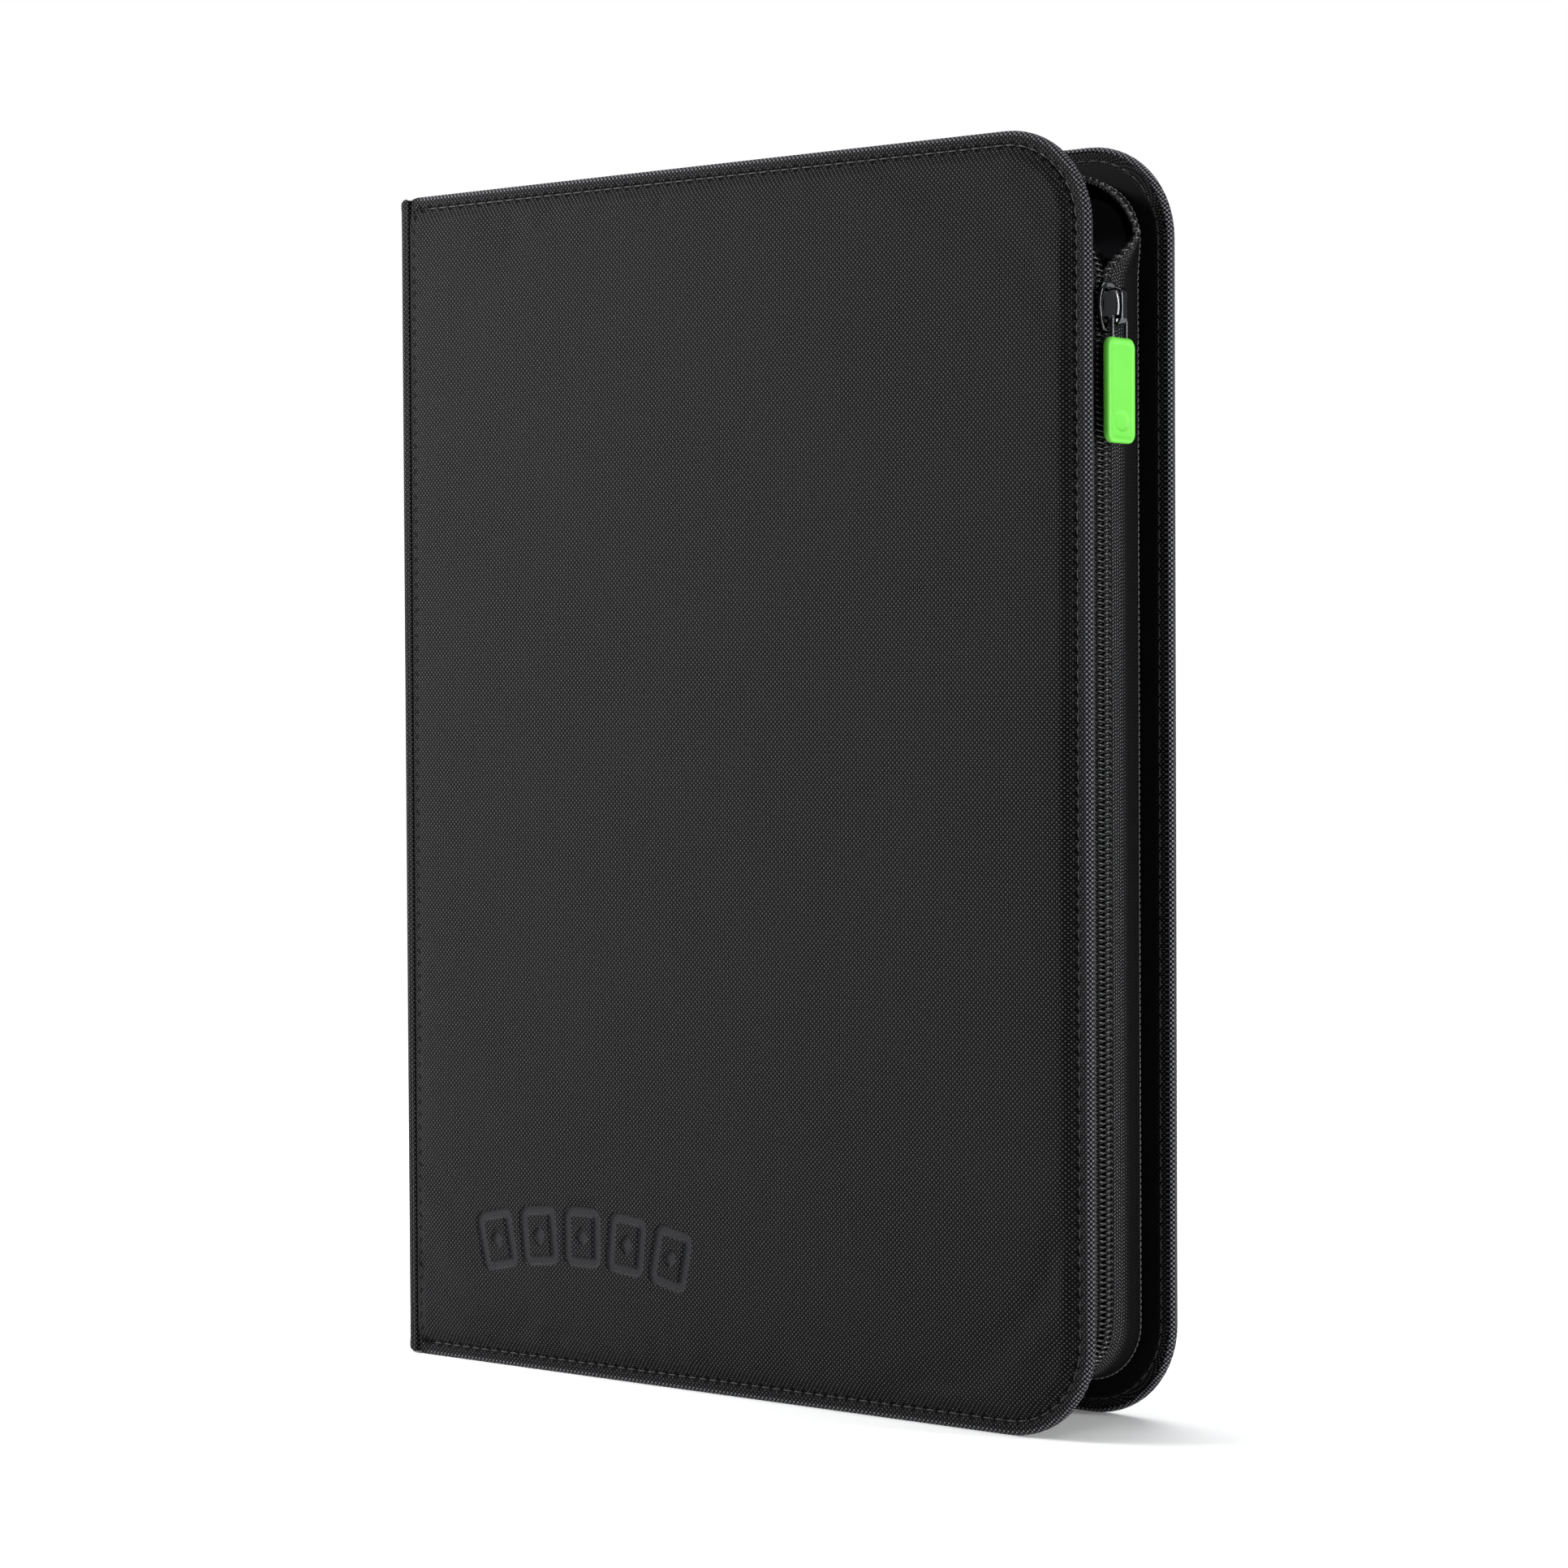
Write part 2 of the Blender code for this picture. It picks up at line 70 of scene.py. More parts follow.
# A cover's outline and profile
CORNER_RADIUS = 0.026
ARC_X = FORE_EDGE - CORNER_RADIUS
ARC_HALF = 7
SPINE_CORNER = 0.0014
EDGE_ROUND = 0.0013
EDGE_TOP = FACE - 0.0012
EDGE_BLEND = 0.0003
SPINE_ROUND = 0.0011
STITCH_INSET = 0.0038
STITCH_PITCH = 0.0037
STITCH_SINK = 0.00045
GROOVE_DEPTH = 0.00050
GROOVE_WIDTH = 0.00050
RISE_START = 0.0043
RISE_RUN = 0.0042
TURNED_IN = 0.0105
TURNED_IN_SPINE = 0.003
LINING_GAP = 0.00012
CLOTH_THICKNESS = 0.0005
COVER_STEP = 0.004
CROWN_STEP = 0.004
CROWN_CAP = 0.0013
CROWN_SPINE = 0.002
SWELL_RUN = 0.004
FOAM_INSET = 0.0072
FOAM_INSET_SPINE = 0.0022
FOAM_BELOW = 0.0014
FOAM_BACK = FACE - 0.0018
SPINE_ROUNDNESS = 2.4
SPINE_FLARE = 0.0004

# The pressed emblem: a shallow fan of five plain cards with a pip each
EMBLEM_LEFT = PANEL_START + 0.0240
EMBLEM_LOW = 0.0272
EMBLEM_WIDTH = 0.0825
EMBLEM_RISE = 0.0225
EMBLEM_DEPTH = 0.00075
EMBLEM_STEP = 0.00045
EMBLEM_X = (EMBLEM_LEFT - 0.0085, EMBLEM_LEFT + EMBLEM_WIDTH - 0.001)
EMBLEM_Z = (EMBLEM_LOW - 0.0008, EMBLEM_LOW + EMBLEM_RISE)
STROKE_HALF = 0.00125
CARD_HALF_WIDTH, CARD_HALF_HEIGHT = 0.0054, 0.0072
CARD_CORNER = 0.0018
CARD_SPACING = 0.0163
FAN_RADIUS = 0.160
PIP_HALF = 0.0021

# Zip
ZIP_INSET = 0.0097
ZIP_START = PANEL_START + 0.014
ZIP_RADIUS = CORNER_RADIUS - ZIP_INSET
ZIP_FLAT = ARC_X - ZIP_START
ZIP_QUARTER = ZIP_RADIUS * math.pi / 2
ZIP_STRAIGHT = HEIGHT - 2 * CORNER_RADIUS
CHAIN_X = FORE_EDGE - ZIP_INSET
TAPE_BASE = LINING_FACE - 0.00025
TAPE_REACH = TAPE_BASE - 0.0016
TAPE_THICKNESS = 0.00042
OPENING_RUNS = {"front": 0.022, "back": 0.012}
LEANS = {"front": (-30, -30), "back": (31, -9)}
TOOTH_PITCH = 0.00155
LOOP_STEPS = 12
COIL_HALF_WIDTH = 0.00172
COIL_HALF_RISE = 0.00078
COIL_WIRE = 0.00034
SEAM_REACH = 0.0011
SEAM_PITCH = 0.0017

# Slider and pull
PLATE_LOW, PLATE_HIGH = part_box("slider_body")
PLATE = 0.0011
PLATE_INNER = PLATE_HIGH.x - PLATE - CHAIN_X
SLIDER_Z = PLATE_LOW.z + 0.0065
MOUTH = PLATE_HIGH.z + 0.00025
CROWN_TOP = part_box("slider_crown")[1].x
LINK_LOW, LINK_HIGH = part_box("pull_link")
LINK_WIRE = 0.00055

# Yarn of the woven cloth: dark yarn, and a painted highlight colour for the floats
WEAVE_CELL = 0.00068
YARN_DARK = (0.0012, 0.0012, 0.0015)
YARN_FLOAT_HIGHLIGHT = (0.080, 0.080, 0.084)


# Small helpers


def smooth(value):
    """0 below 0, 1 above 1, and a smooth rise between; works on arrays."""
    value = np.clip(value, 0.0, 1.0)
    return value * value * (3 - 2 * value)


def bell(value, width):
    """1 at 0, falling off over a width on both sides."""
    return np.exp(-((value / width) ** 2))


def rounding(distance, radius):
    """How far below its flat a rounded edge lies, at a distance in from the edge."""
    near = radius - np.clip(distance, 0, radius)
    return radius - np.sqrt(radius**2 - near**2)


def spline(a, b, c, d, t):
    """A point between b and c on the Catmull-Rom curve through a, b, c and d."""
    return 0.5 * (2 * b + (c - a) * t + (2 * a - 5 * b + 4 * c - d) * t**2 + (3 * b - a - 3 * c + d) * t**3)


def run_lengths(points):
    """Distance along a line at each of its points."""
    steps = np.linalg.norm(np.diff(points, axis=0), axis=1)
    return np.concatenate([[0], np.cumsum(steps)])


def lines_between(start, end, step, band=None):
    """Positions from start to end, closer together inside the emblem's band."""
    if band is None:
        return np.linspace(start, end, max(2, round((end - start) / step) + 1))
    inside = np.linspace(*band, round((band[1] - band[0]) / EMBLEM_STEP) + 1)
    after = lines_between(band[1], end, step)
    return np.concatenate([lines_between(start, band[0], step), inside[1:], after[1:]])


def add_uv(mesh, name, values):
    """A UV map that holds one (u, v) for each point."""
    layer = mesh.uv_layers.new(name=name)
    corners = np.zeros(len(mesh.loops), np.int32)
    mesh.loops.foreach_get("vertex_index", corners)
    layer.data.foreach_set("uv", np.asarray(values, np.float32)[corners].ravel())


def mesh_from(name, points, faces, uv=None, flip=False):
    """A smooth mesh; uv has the weave's place at each point."""
    if flip:
        faces = [face[::-1] for face in faces]
    mesh = bpy.data.meshes.new(name)
    mesh.from_pydata([tuple(point) for point in points], [], faces)
    if uv is not None:
        add_uv(mesh, "weave", uv)
    mesh.shade_smooth()
    return mesh


def faced_out(mesh):
    """The mesh with its faces turned outward."""
    shape = bmesh.new()
    shape.from_mesh(mesh)
    bmesh.ops.recalc_face_normals(shape, faces=shape.faces)
    shape.to_mesh(mesh)
    shape.free()
    return mesh


def mesh_of(name, shape):
    """A bmesh turned into a smooth mesh."""
    mesh = bpy.data.meshes.new(name)
    shape.to_mesh(mesh)
    shape.free()
    mesh.shade_smooth()
    return mesh


def new_object(name, data):
    made = bpy.data.objects.new(name, data)
    bpy.context.scene.collection.objects.link(made)
    return made


def modified(mesh, kind, **settings):
    """The mesh as one modifier leaves it."""
    name = mesh.name
    holder = new_object(name, mesh)
    modifier = holder.modifiers.new("shaping", kind)
    for key, value in settings.items():
        setattr(modifier, key, value)
    graph = bpy.context.evaluated_depsgraph_get()
    final = bpy.data.meshes.new_from_object(holder.evaluated_get(graph))
    bpy.data.objects.remove(holder)
    bpy.data.meshes.remove(mesh)
    final.name = name
    return final


def cloth_strip(name, points, rows, uv, offset, thickness, flip=False):
    """Rows of points as a cloth of some thickness; offset -1 lays it under them."""
    mesh = mesh_from(name, points, grid_faces(rows, len(points) // rows), uv, flip)
    return faced_out(modified(mesh, "SOLIDIFY", thickness=thickness, offset=offset))


def add_piece(mesh, body, paint, replaces=()):
    """A finished mesh as one piece of the binder, riding on its CAD body."""
    piece = new_object(mesh.name, mesh)
    mesh.materials.append(paint)
    if body:
        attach(piece, body)
    if replaces:
        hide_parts(*replaces)
    return piece


def grid_faces(rows, columns, closed=False):
    """Quads over rows of points; closed joins the last column to the first."""
    faces = []
    for below in range(0, (rows - 1) * columns, columns):
        above = below + columns
        for c in range(columns if closed else columns - 1):
            following = (c + 1) % columns
            faces.append((below + c, below + following, above + following, above + c))
    return faces


def bar_faces(rows, columns):
    """Faces of a closed bar: rows of points round it, with a face over each end."""
    last = (rows - 1) * columns
    ends = [tuple(range(columns))[::-1], tuple(range(last, last + columns))]
    return grid_faces(rows, columns, closed=True) + ends


def shell_faces(rows, columns):
    """Faces of a closed shell: a grid of points, the same grid again and a rim between."""
    count = rows * columns
    lower = grid_faces(rows, columns)
    upper = [tuple(k + count for k in face[::-1]) for face in lower]
    loop = list(range(columns)) + [r * columns + columns - 1 for r in range(1, rows)]
    loop += [(rows - 1) * columns + c for c in range(columns - 2, -1, -1)]
    loop += [r * columns for r in range(rows - 2, 0, -1)]
    rim = [(b, a, a + count, b + count) for a, b in zip(loop, loop[1:] + loop[:1])]
    return lower + upper + rim


def tube(path, radius, sides):
    """Points and faces of a round tube; radius is one number, or one for each point."""
    path = np.asarray(path, float)
    tangents = np.gradient(path, axis=0)
    tangents /= np.linalg.norm(tangents, axis=1)[:, None]
    angles = 2 * math.pi * np.arange(sides)[:, None] / sides
    across = np.cross(tangents[0], (0.31, 0.17, 0.93))
    points = []
    for place, along, size in zip(path, tangents, np.broadcast_to(radius, len(path))):
        across = across - along * (across @ along)
        across /= np.linalg.norm(across)
        up = np.cross(along, across)
        points.extend(place + size * (np.cos(angles) * across + np.sin(angles) * up))
    return points, bar_faces(len(path), sides)


class Soup:
    """Collects many small tubes or shells into one mesh."""

    def __init__(self):
        self.points = []
        self.faces = []

    def add(self, points, faces):
        base = len(self.points)
        self.points.extend(points)
        self.faces.extend(tuple(base + k for k in face) for face in faces)

    def mesh(self, name):
        return faced_out(mesh_from(name, self.points, self.faces))


# Materials


class Paint:
    """One node material; its methods return output sockets."""

    def __init__(self, name, **settings):
        self.material = bpy.data.materials.new(name)
        self.material.use_nodes = True
        self.tree = self.material.node_tree
        self.shader = self.tree.nodes["Principled BSDF"]
        for socket, value in settings.items():
            self.shader.inputs[socket.replace("_", " ")].default_value = value

    def feed(self, socket, value):
        """Links a socket, or sets a number or three numbers as a colour."""
        if isinstance(value, bpy.types.NodeSocket):
            self.tree.links.new(value, socket)
        elif socket.type == "RGBA":
            grey = isinstance(value, (int, float))
            socket.default_value = (value, value, value, 1.0) if grey else (*value, 1.0)
        else:
            socket.default_value = value

    def node(self, kind, feeds, **settings):
        """A new node; feeds has a value or a socket for each input it names."""
        made = self.tree.nodes.new(kind)
        for key, value in settings.items():
            setattr(made, key, value)
        for key, value in feeds.items():
            self.feed(made.inputs[key], value)
        return made

    def math(self, operation, first, second=0.0):
        return self.node("ShaderNodeMath", {0: first, 1: second}, operation=operation).outputs[0]

    def times(self, first, *others):
        for other in others:
            first = self.math("MULTIPLY", first, other)
        return first

    def wave(self, value, length):
        """A sine over a coordinate, with that distance between its peaks."""
        return self.math("SINE", self.times(value, 2 * math.pi / length))

    def band(self, value, low, high, out_low=0.0, out_high=1.0):
        """value carried smoothly from low..high to out_low..out_high."""
        feeds = dict(enumerate((value, low, high, out_low, out_high)))
        made = self.node("ShaderNodeMapRange", feeds, interpolation_type="SMOOTHSTEP", clamp=True)
        return made.outputs[0]

    def source(self, uv=None):
        """A UV map in metres, or the piece's own space."""
        if uv:
            return self.node("ShaderNodeUVMap", {}, uv_map=uv).outputs[0]
        return self.node("ShaderNodeTexCoord", {}).outputs["Object"]

    def place(self, uv=None):
        """The source's x, y and z."""
        return self.node("ShaderNodeSeparateXYZ", {0: self.source(uv)}).outputs

    def noise(self, scale, detail=3.0, stretch=(1, 1, 1), uv=None):
        mapping = self.node("ShaderNodeMapping", {"Vector": self.source(uv), "Scale": stretch})
        feeds = {"Vector": mapping.outputs[0], "Scale": scale, "Detail": detail, "Roughness": 0.55}
        return self.node("ShaderNodeTexNoise", feeds).outputs["Fac"]

    def attribute(self, name):
        return self.node("ShaderNodeAttribute", {}, attribute_name=name).outputs["Fac"]

    def mix(self, share, first, second):
        return self.node("ShaderNodeMix", {0: share, 6: first, 7: second}, data_type="RGBA").outputs[2]

    def colour(self, value):
        self.feed(self.shader.inputs["Base Color"], value)

    def roughness(self, value):
        self.feed(self.shader.inputs["Roughness"], value)

    def bump(self, height, distance, strength):
        feeds = {"Distance": distance, "Strength": strength, "Height": height}
        self.feed(self.shader.inputs["Normal"], self.node("ShaderNodeBump", feeds).outputs[0])


def cover_paint(name, painted_light_tone=1.0, border=False):
    """Plain-weave polyester: dark yarns with small floats in a checkerboard; the floats' bright colour is a
    painted highlight.
    """
    paint = Paint(name, Specular_IOR_Level=0.06)
    u, v, _ = paint.place("weave")
    floats = paint.times(paint.wave(u, 2 * WEAVE_CELL), paint.wave(v, 2 * WEAVE_CELL))
    yarn = paint.noise(900.0, 2.0, uv="weave")
    # glow marks where the floats take the painted highlight colour
    glow = paint.times(paint.band(floats, 0.28, 0.92), paint.band(yarn, 0.25, 0.75, 0.6, 1.25))
    # The tone factor makes lit or shaded copies of the weave, as painted light or painted shade
    cloth = paint.mix(glow, [c * painted_light_tone for c in YARN_DARK], [c * painted_light_tone for c in YARN_FLOAT_HIGHLIGHT])
    dust = paint.band(paint.noise(22.0, 2.0, uv="weave"), 0.3, 0.7, 0.0, 0.10)
    cloth = paint.mix(dust, cloth, 0.016 * painted_light_tone)
    height = paint.math("ABSOLUTE", floats)
    if border:
        cloth, height = border_paint(paint, floats, cloth, height)
    paint.colour(cloth)
    paint.roughness(paint.band(yarn, 0.2, 0.8, 0.42, 0.6))
    paint.bump(height, 0.00016, 0.8)
    return paint.material


def border_paint(paint, floats, cloth, height):
    """Adds the pressed strokes, the dark hem, a painted highlight along the rounded rim, and painted shade in
    the stitch groove and needle holes.
    """
    pressed_here = paint.attribute("pressed")
    cloth = paint.mix(paint.times(pressed_here, 0.7), cloth, (0.030, 0.030, 0.032))
    run, inset, _ = paint.place("border")
    hem = paint.band(inset, -0.0050, -0.0040, 0.96, 0.0)
    cloth = paint.mix(hem, cloth, (0.0030, 0.0030, 0.0038))
    # rim, outward and off_spine shape a painted highlight on the rounded edge, weaker on the inner side and
    # kept off the spine side
    rim = paint.band(paint.math("ABSOLUTE", inset), 0.0010, 0.0016, 1.0, 0.0)
    outward = paint.band(inset, -0.0002, 0.0002, 0.95, 0.6)
    off_spine = paint.band(paint.place()[0], PANEL_START + 0.001, PANEL_START + 0.005)
    rim_highlight = paint.times(rim, outward, off_spine, paint.band(floats, -0.1, 0.5))
    cloth = paint.mix(rim_highlight, cloth, (0.24, 0.24, 0.26))
    from_line = paint.math("ABSOLUTE", paint.math("SUBTRACT", inset, STITCH_INSET))
    # line and hole darken the colour as painted shade in the stitch groove and the needle holes; hole also
    # sinks the relief
    line = paint.band(from_line, 0.0003, 0.0009, 1.0, 0.0)
    dimple = paint.band(from_line, 0.0006, 0.0014, 1.0, 0.0)
    hole = paint.times(dimple, paint.band(paint.wave(run, STITCH_PITCH), 0.1, 0.8))
    cloth = paint.mix(paint.times(line, 0.25), cloth, 0.004)
    cloth = paint.mix(hole, cloth, 0.001)
    height = paint.math("SUBTRACT", height, paint.times(hole, 2.0))
    flattened = paint.math("SUBTRACT", 1.0, paint.times(pressed_here, 0.75))
    return cloth, paint.times(height, paint.math("SUBTRACT", 1.0, hem), flattened)


def tape_paint():
    """Zip tape woven in a herringbone, each rib a short slanted dash, fading to dark towards its sewn foot as
    painted shade.
    """
    paint = Paint("zip_tape_weave_painted_shade", Roughness=0.6, Specular_IOR_Level=0.1)
    run, across, _ = paint.place("weave")
    slanted = paint.math("ADD", run, paint.times(paint.math("PINGPONG", across, 0.0016), 0.7))
    ribs = paint.band(paint.wave(slanted, 0.00095), 0.0, 0.9)
    dashes = paint.times(ribs, paint.band(paint.wave(across, 0.0011), -0.7, 0.3))
    fleck = paint.band(paint.noise(1500.0, 2.0, uv="weave"), 0.3, 0.7, 0.45, 1.2)
    # The band over across fades the dashes out towards the sewn foot: painted shade
    share = paint.times(dashes, fleck, paint.band(across, 0.0095, 0.0140, 0.05, 1.0))
    paint.colour(paint.mix(share, (0.0020, 0.0020, 0.0025), (0.18, 0.18, 0.186)))
    paint.bump(dashes, 0.00012, 0.8)
    return paint.material


def thread_paint(name, dark, bright):
    """Twisted sewing thread."""
    paint = Paint(name, Roughness=0.5)
    x, y, z = paint.place()
    twist = paint.wave(paint.math("ADD", paint.math("ADD", x, y), z), 0.0005)
    paint.colour(paint.mix(paint.band(twist, -0.6, 0.8), dark, bright))
    paint.bump(twist, 0.00005, 0.6)
    return paint.material


def grained_paint(name, low, high, tint, grain, sheen, relief=None, **settings):
    """Two colours mixed by one noise, with a grain that varies the sheen and the relief."""
    paint = Paint(name, **settings)
    fine = paint.noise(*grain)
    paint.colour(paint.mix(paint.noise(*tint), low, high))
    paint.roughness(paint.band(fine, *sheen))
    if relief:
        paint.bump(fine, *relief)
    return paint.material


def metal_paint(name, dark, bright, rough):
    """Black-nickel plating with faint handling marks."""
    marks = (420.0, 4.0, (1, 1, 0.3))
    sheen = (0.3, 0.75, rough * 0.7, rough * 1.6)
    return grained_paint(name, dark, bright, marks, marks, sheen, Metallic=1.0)


def film_paint():
    """Side-loading pockets: clear film over a black sheet."""
    paint = Paint("page_film", Specular_IOR_Level=0.2, Coat_Weight=0.25, Coat_Roughness=0.08)
    ripple = paint.noise(35.0, 2.0)
    sheet = paint.mix(paint.noise(260.0, 3.0), (0.016, 0.016, 0.019), (0.024, 0.024, 0.028))
    paint.colour(paint.mix(paint.times(paint.attribute("weld"), 0.8), sheet, (0.075, 0.075, 0.082)))
    paint.roughness(paint.band(ripple, 0.3, 0.7, 0.2, 0.34))
    paint.bump(ripple, 0.00008, 0.3)
    return paint.material


def plain_paint(name, low, high, scale, rough):
    """Inner materials: a base colour with fibres or cells at one scale."""
    paint = Paint(name, Roughness=rough)
    cells = paint.noise(scale, 4.0)
    paint.colour(paint.mix(cells, low, high))
    paint.bump(cells, 0.0001, 0.6)
    return paint.material


# Outlines of a cover


class Outline:
    """A cover's outline at any inset, as a ring of (x, z) points.

    The ring starts at the bottom spine corner and runs along the bottom, up the
    fore-edge, back along the top and down the spine."""

    def __init__(self, step, x_band=None, z_band=None):
        start = PANEL_START + SPINE_CORNER
        xs = lines_between(start, ARC_X, step, x_band)
        self.x_shares = (xs - start) / (ARC_X - start)
        self.z_lines = lines_between(CORNER_RADIUS, HEIGHT - CORNER_RADIUS, step, z_band)
        self.across = len(xs) - 1 + ARC_HALF
        self.up = len(self.z_lines) - 1 + 2 * ARC_HALF
        self.count = 2 * (self.across + self.up)

    def ring(self, inset, spine_inset):
        low, high = inset, HEIGHT - inset
        left = PANEL_START + spine_inset
        flat = left + SPINE_CORNER + (ARC_X - left - SPINE_CORNER) * self.x_shares
        quarter = np.radians(np.arange(2 * ARC_HALF) * 45 / ARC_HALF)
        radius = CORNER_RADIUS - inset
        out, over = radius * np.sin(quarter), radius * np.cos(quarter)
        ends = (np.arange(ARC_HALF) / ARC_HALF) ** 2
        upper = high - (high - self.z_lines[-1]) * ends
        lower = low + (self.z_lines[0] - low) * ends
        spine = np.concatenate([upper, self.z_lines[::-1], lower[:0:-1]])
        notch = rounding(np.minimum(spine - low, high - spine), SPINE_CORNER)
        right, run = self.z_lines[:-1], np.ones(len(flat) - 1)
        xs = [flat[:-1], ARC_X + out, FORE_EDGE - inset + 0 * right, ARC_X + over, flat[:0:-1], left + notch]
        zs = [low * run, CORNER_RADIUS - over, right, HEIGHT - CORNER_RADIUS + out, high * run, spine]
        return np.stack([np.concatenate(xs), np.concatenate(zs)], 1)

    def patch(self, ring):
        """Inner points of a grid that fills the last ring, and the grid's index table.

        Indices below the ring's count are the ring's own points."""
        a, u = self.across, self.up
        bottom, right = ring[: a + 1], ring[a : a + u + 1]
        top = ring[a + u : 2 * a + u + 1][::-1]
        left = np.concatenate([ring[2 * a + u :], ring[:1]])[::-1]
        s = ((bottom[:, 0] - bottom[0, 0]) / (bottom[-1, 0] - bottom[0, 0]))[None, :, None]
        t = ((right[:, 1] - right[0, 1]) / (right[-1, 1] - right[0, 1]))[:, None, None]
        sides = (1 - t) * bottom[None] + t * top[None] + (1 - s) * left[:, None] + s * right[:, None]
        low = (1 - s) * bottom[0] + s * bottom[-1]
        high = (1 - s) * top[0] + s * top[-1]
        grid = sides - (1 - t) * low - t * high
        table = np.zeros((u + 1, a + 1), int)
        table[0] = np.arange(a + 1)
        table[:, a] = np.arange(a, a + u + 1)
        table[u] = np.arange(2 * a + u, a + u - 1, -1)
        table[1:, 0] = np.arange(self.count - 1, 2 * a + u - 1, -1)
        inner = grid[1:-1, 1:-1].reshape(-1, 2)
        table[1:-1, 1:-1] = self.count + np.arange(len(inner)).reshape(u - 1, a - 1)
        return inner, table


def capped_mesh(name, side, places, depths, table, cap_depth, uv=None, flip=False):
    """Rings and an inner patch, closed behind by a fan to one point, as one mesh."""
    count = len(places[0])
    flat = np.concatenate(places)
    points = np.stack([flat[:, 0], side * np.concatenate(depths), flat[:, 1]], 1)
    faces = grid_faces(len(places) - 1, count, closed=True)
    last = (len(places) - 2) * count
    for lower, upper in zip(table, table[1:]):
        for corners in zip(lower, lower[1:], upper[1:], upper):
            faces.append(tuple(last + k for k in corners))
    hub = len(points)
    faces += [((k + 1) % count, k, hub) for k in range(count)]
    middle = (PANEL_START + FORE_EDGE) / 2
    points = np.vstack([points, (middle, side * cap_depth, HEIGHT / 2)])
    if uv is not None:
        uv = np.vstack([uv, (middle, HEIGHT / 2)])
    return mesh_from(name, points, faces, uv, flip=(side > 0) != flip)


def edge_distance(x, z):
    """Distance in from the bottom, fore-edge and top, whose corners are round."""
    straight = np.minimum(np.minimum(z, HEIGHT - z), FORE_EDGE - x)
    past = np.maximum(z - (HEIGHT - CORNER_RADIUS), CORNER_RADIUS - z)
    turned = CORNER_RADIUS - np.hypot(np.maximum(x - ARC_X, 0), np.maximum(past, 0))
    return np.where((x > ARC_X) & (past > 0), turned, straight)


# The covers' padding, simulated as a sheet held along the stitching


def crown_sheet(columns, rows):
    """A flat cloth over a whole cover."""
    sheet = bmesh.new()
    bmesh.ops.create_grid(sheet, x_segments=columns, y_segments=rows, size=0.5)
    bmesh.ops.scale(sheet, vec=(FORE_EDGE - PANEL_START, HEIGHT, 1), verts=sheet.verts)
    bmesh.ops.translate(sheet, vec=((FORE_EDGE + PANEL_START) / 2, HEIGHT / 2, 0), verts=sheet.verts)
    return new_object("crown_sheet", mesh_of("crown_sheet", sheet))


CROWN_CLOTH = {
    "quality": 6, "mass": 0.25, "tension_stiffness": 12, "compression_stiffness": 12,
    "bending_stiffness": 0.8, "shrink_min": -0.01, "vertex_group_mass": "held",
    "use_pressure": True, "uniform_pressure_force": 4.0,
}


def simulate_crown():
    """Heights of a cloth pinned at the stitching and pushed out from behind."""
    columns = round((FORE_EDGE - PANEL_START) / CROWN_STEP)
    rows = round(HEIGHT / CROWN_STEP)
    cloth = crown_sheet(columns, rows)
    flat = np.array([v.co for v in cloth.data.vertices])
    from_spine = flat[:, 0] - PANEL_START - CROWN_SPINE
    inside = np.minimum(edge_distance(flat[:, 0], flat[:, 1]) - RISE_START, from_spine)
    held = cloth.vertex_groups.new(name="held")
    held.add([int(k) for k in np.flatnonzero(inside <= 0)], 1.0, "REPLACE")
    settings = cloth.modifiers.new("cloth", "CLOTH").settings
    for key, value in CROWN_CLOTH.items():
        setattr(settings, key, value)
    settings.effector_weights.gravity = 0.0
    scene = bpy.context.scene
    for step in range(1, 21):
        scene.frame_set(step)
    settled = cloth.evaluated_get(bpy.context.evaluated_depsgraph_get()).to_mesh()
    heights = np.array([v.co.z for v in settled.vertices])
    bpy.data.objects.remove(cloth)
    scene.frame_set(1)
    order = np.lexsort((flat[:, 0], flat[:, 1]))
    return np.sign(heights.mean()) * heights[order].reshape(rows + 1, columns + 1)


CROWN = simulate_crown()


def crown(x, z):
    """The padding's rise above the flat cover, never above its cap."""
    rows, columns = CROWN.shape
    across = np.clip((x - PANEL_START) / (FORE_EDGE - PANEL_START) * (columns - 1), 0, columns - 1.001)
    up = np.clip(z / HEIGHT * (rows - 1), 0, rows - 1.001)
    c, r = across.astype(int), up.astype(int)
    s, t = across - c, up - r
    low = CROWN[r, c] * (1 - s) + CROWN[r, c + 1] * s
    high = CROWN[r + 1, c] * (1 - s) + CROWN[r + 1, c + 1] * s
    return CROWN_CAP * np.tanh((low * (1 - t) + high * t) / (CROWN_CAP * 1.6))


# Covers


def card_distance(x, z, place):
    """Distance to the stroke's middle of one card and its pip; place is -2..2."""
    angle = place * CARD_SPACING / FAN_RADIUS
    centre_x = EMBLEM_LEFT + EMBLEM_WIDTH / 2 + FAN_RADIUS * math.sin(angle)
    centre_z = EMBLEM_LOW + 0.0129 - FAN_RADIUS * (1 - math.cos(angle))
    across = (x - centre_x) * math.cos(angle) - (z - centre_z) * math.sin(angle)
    along = (x - centre_x) * math.sin(angle) + (z - centre_z) * math.cos(angle)
    over_x = np.abs(across) - (CARD_HALF_WIDTH - CARD_CORNER)
    over_z = np.abs(along) - (CARD_HALF_HEIGHT - CARD_CORNER)
    outside = np.hypot(np.maximum(over_x, 0), np.maximum(over_z, 0))
    rim = outside + np.minimum(np.maximum(over_x, over_z), 0) - CARD_CORNER
    pip = (np.abs(across) + np.abs(along) * 0.75 - PIP_HALF) * 0.8 + STROKE_HALF
    return np.minimum(np.abs(rim), pip)


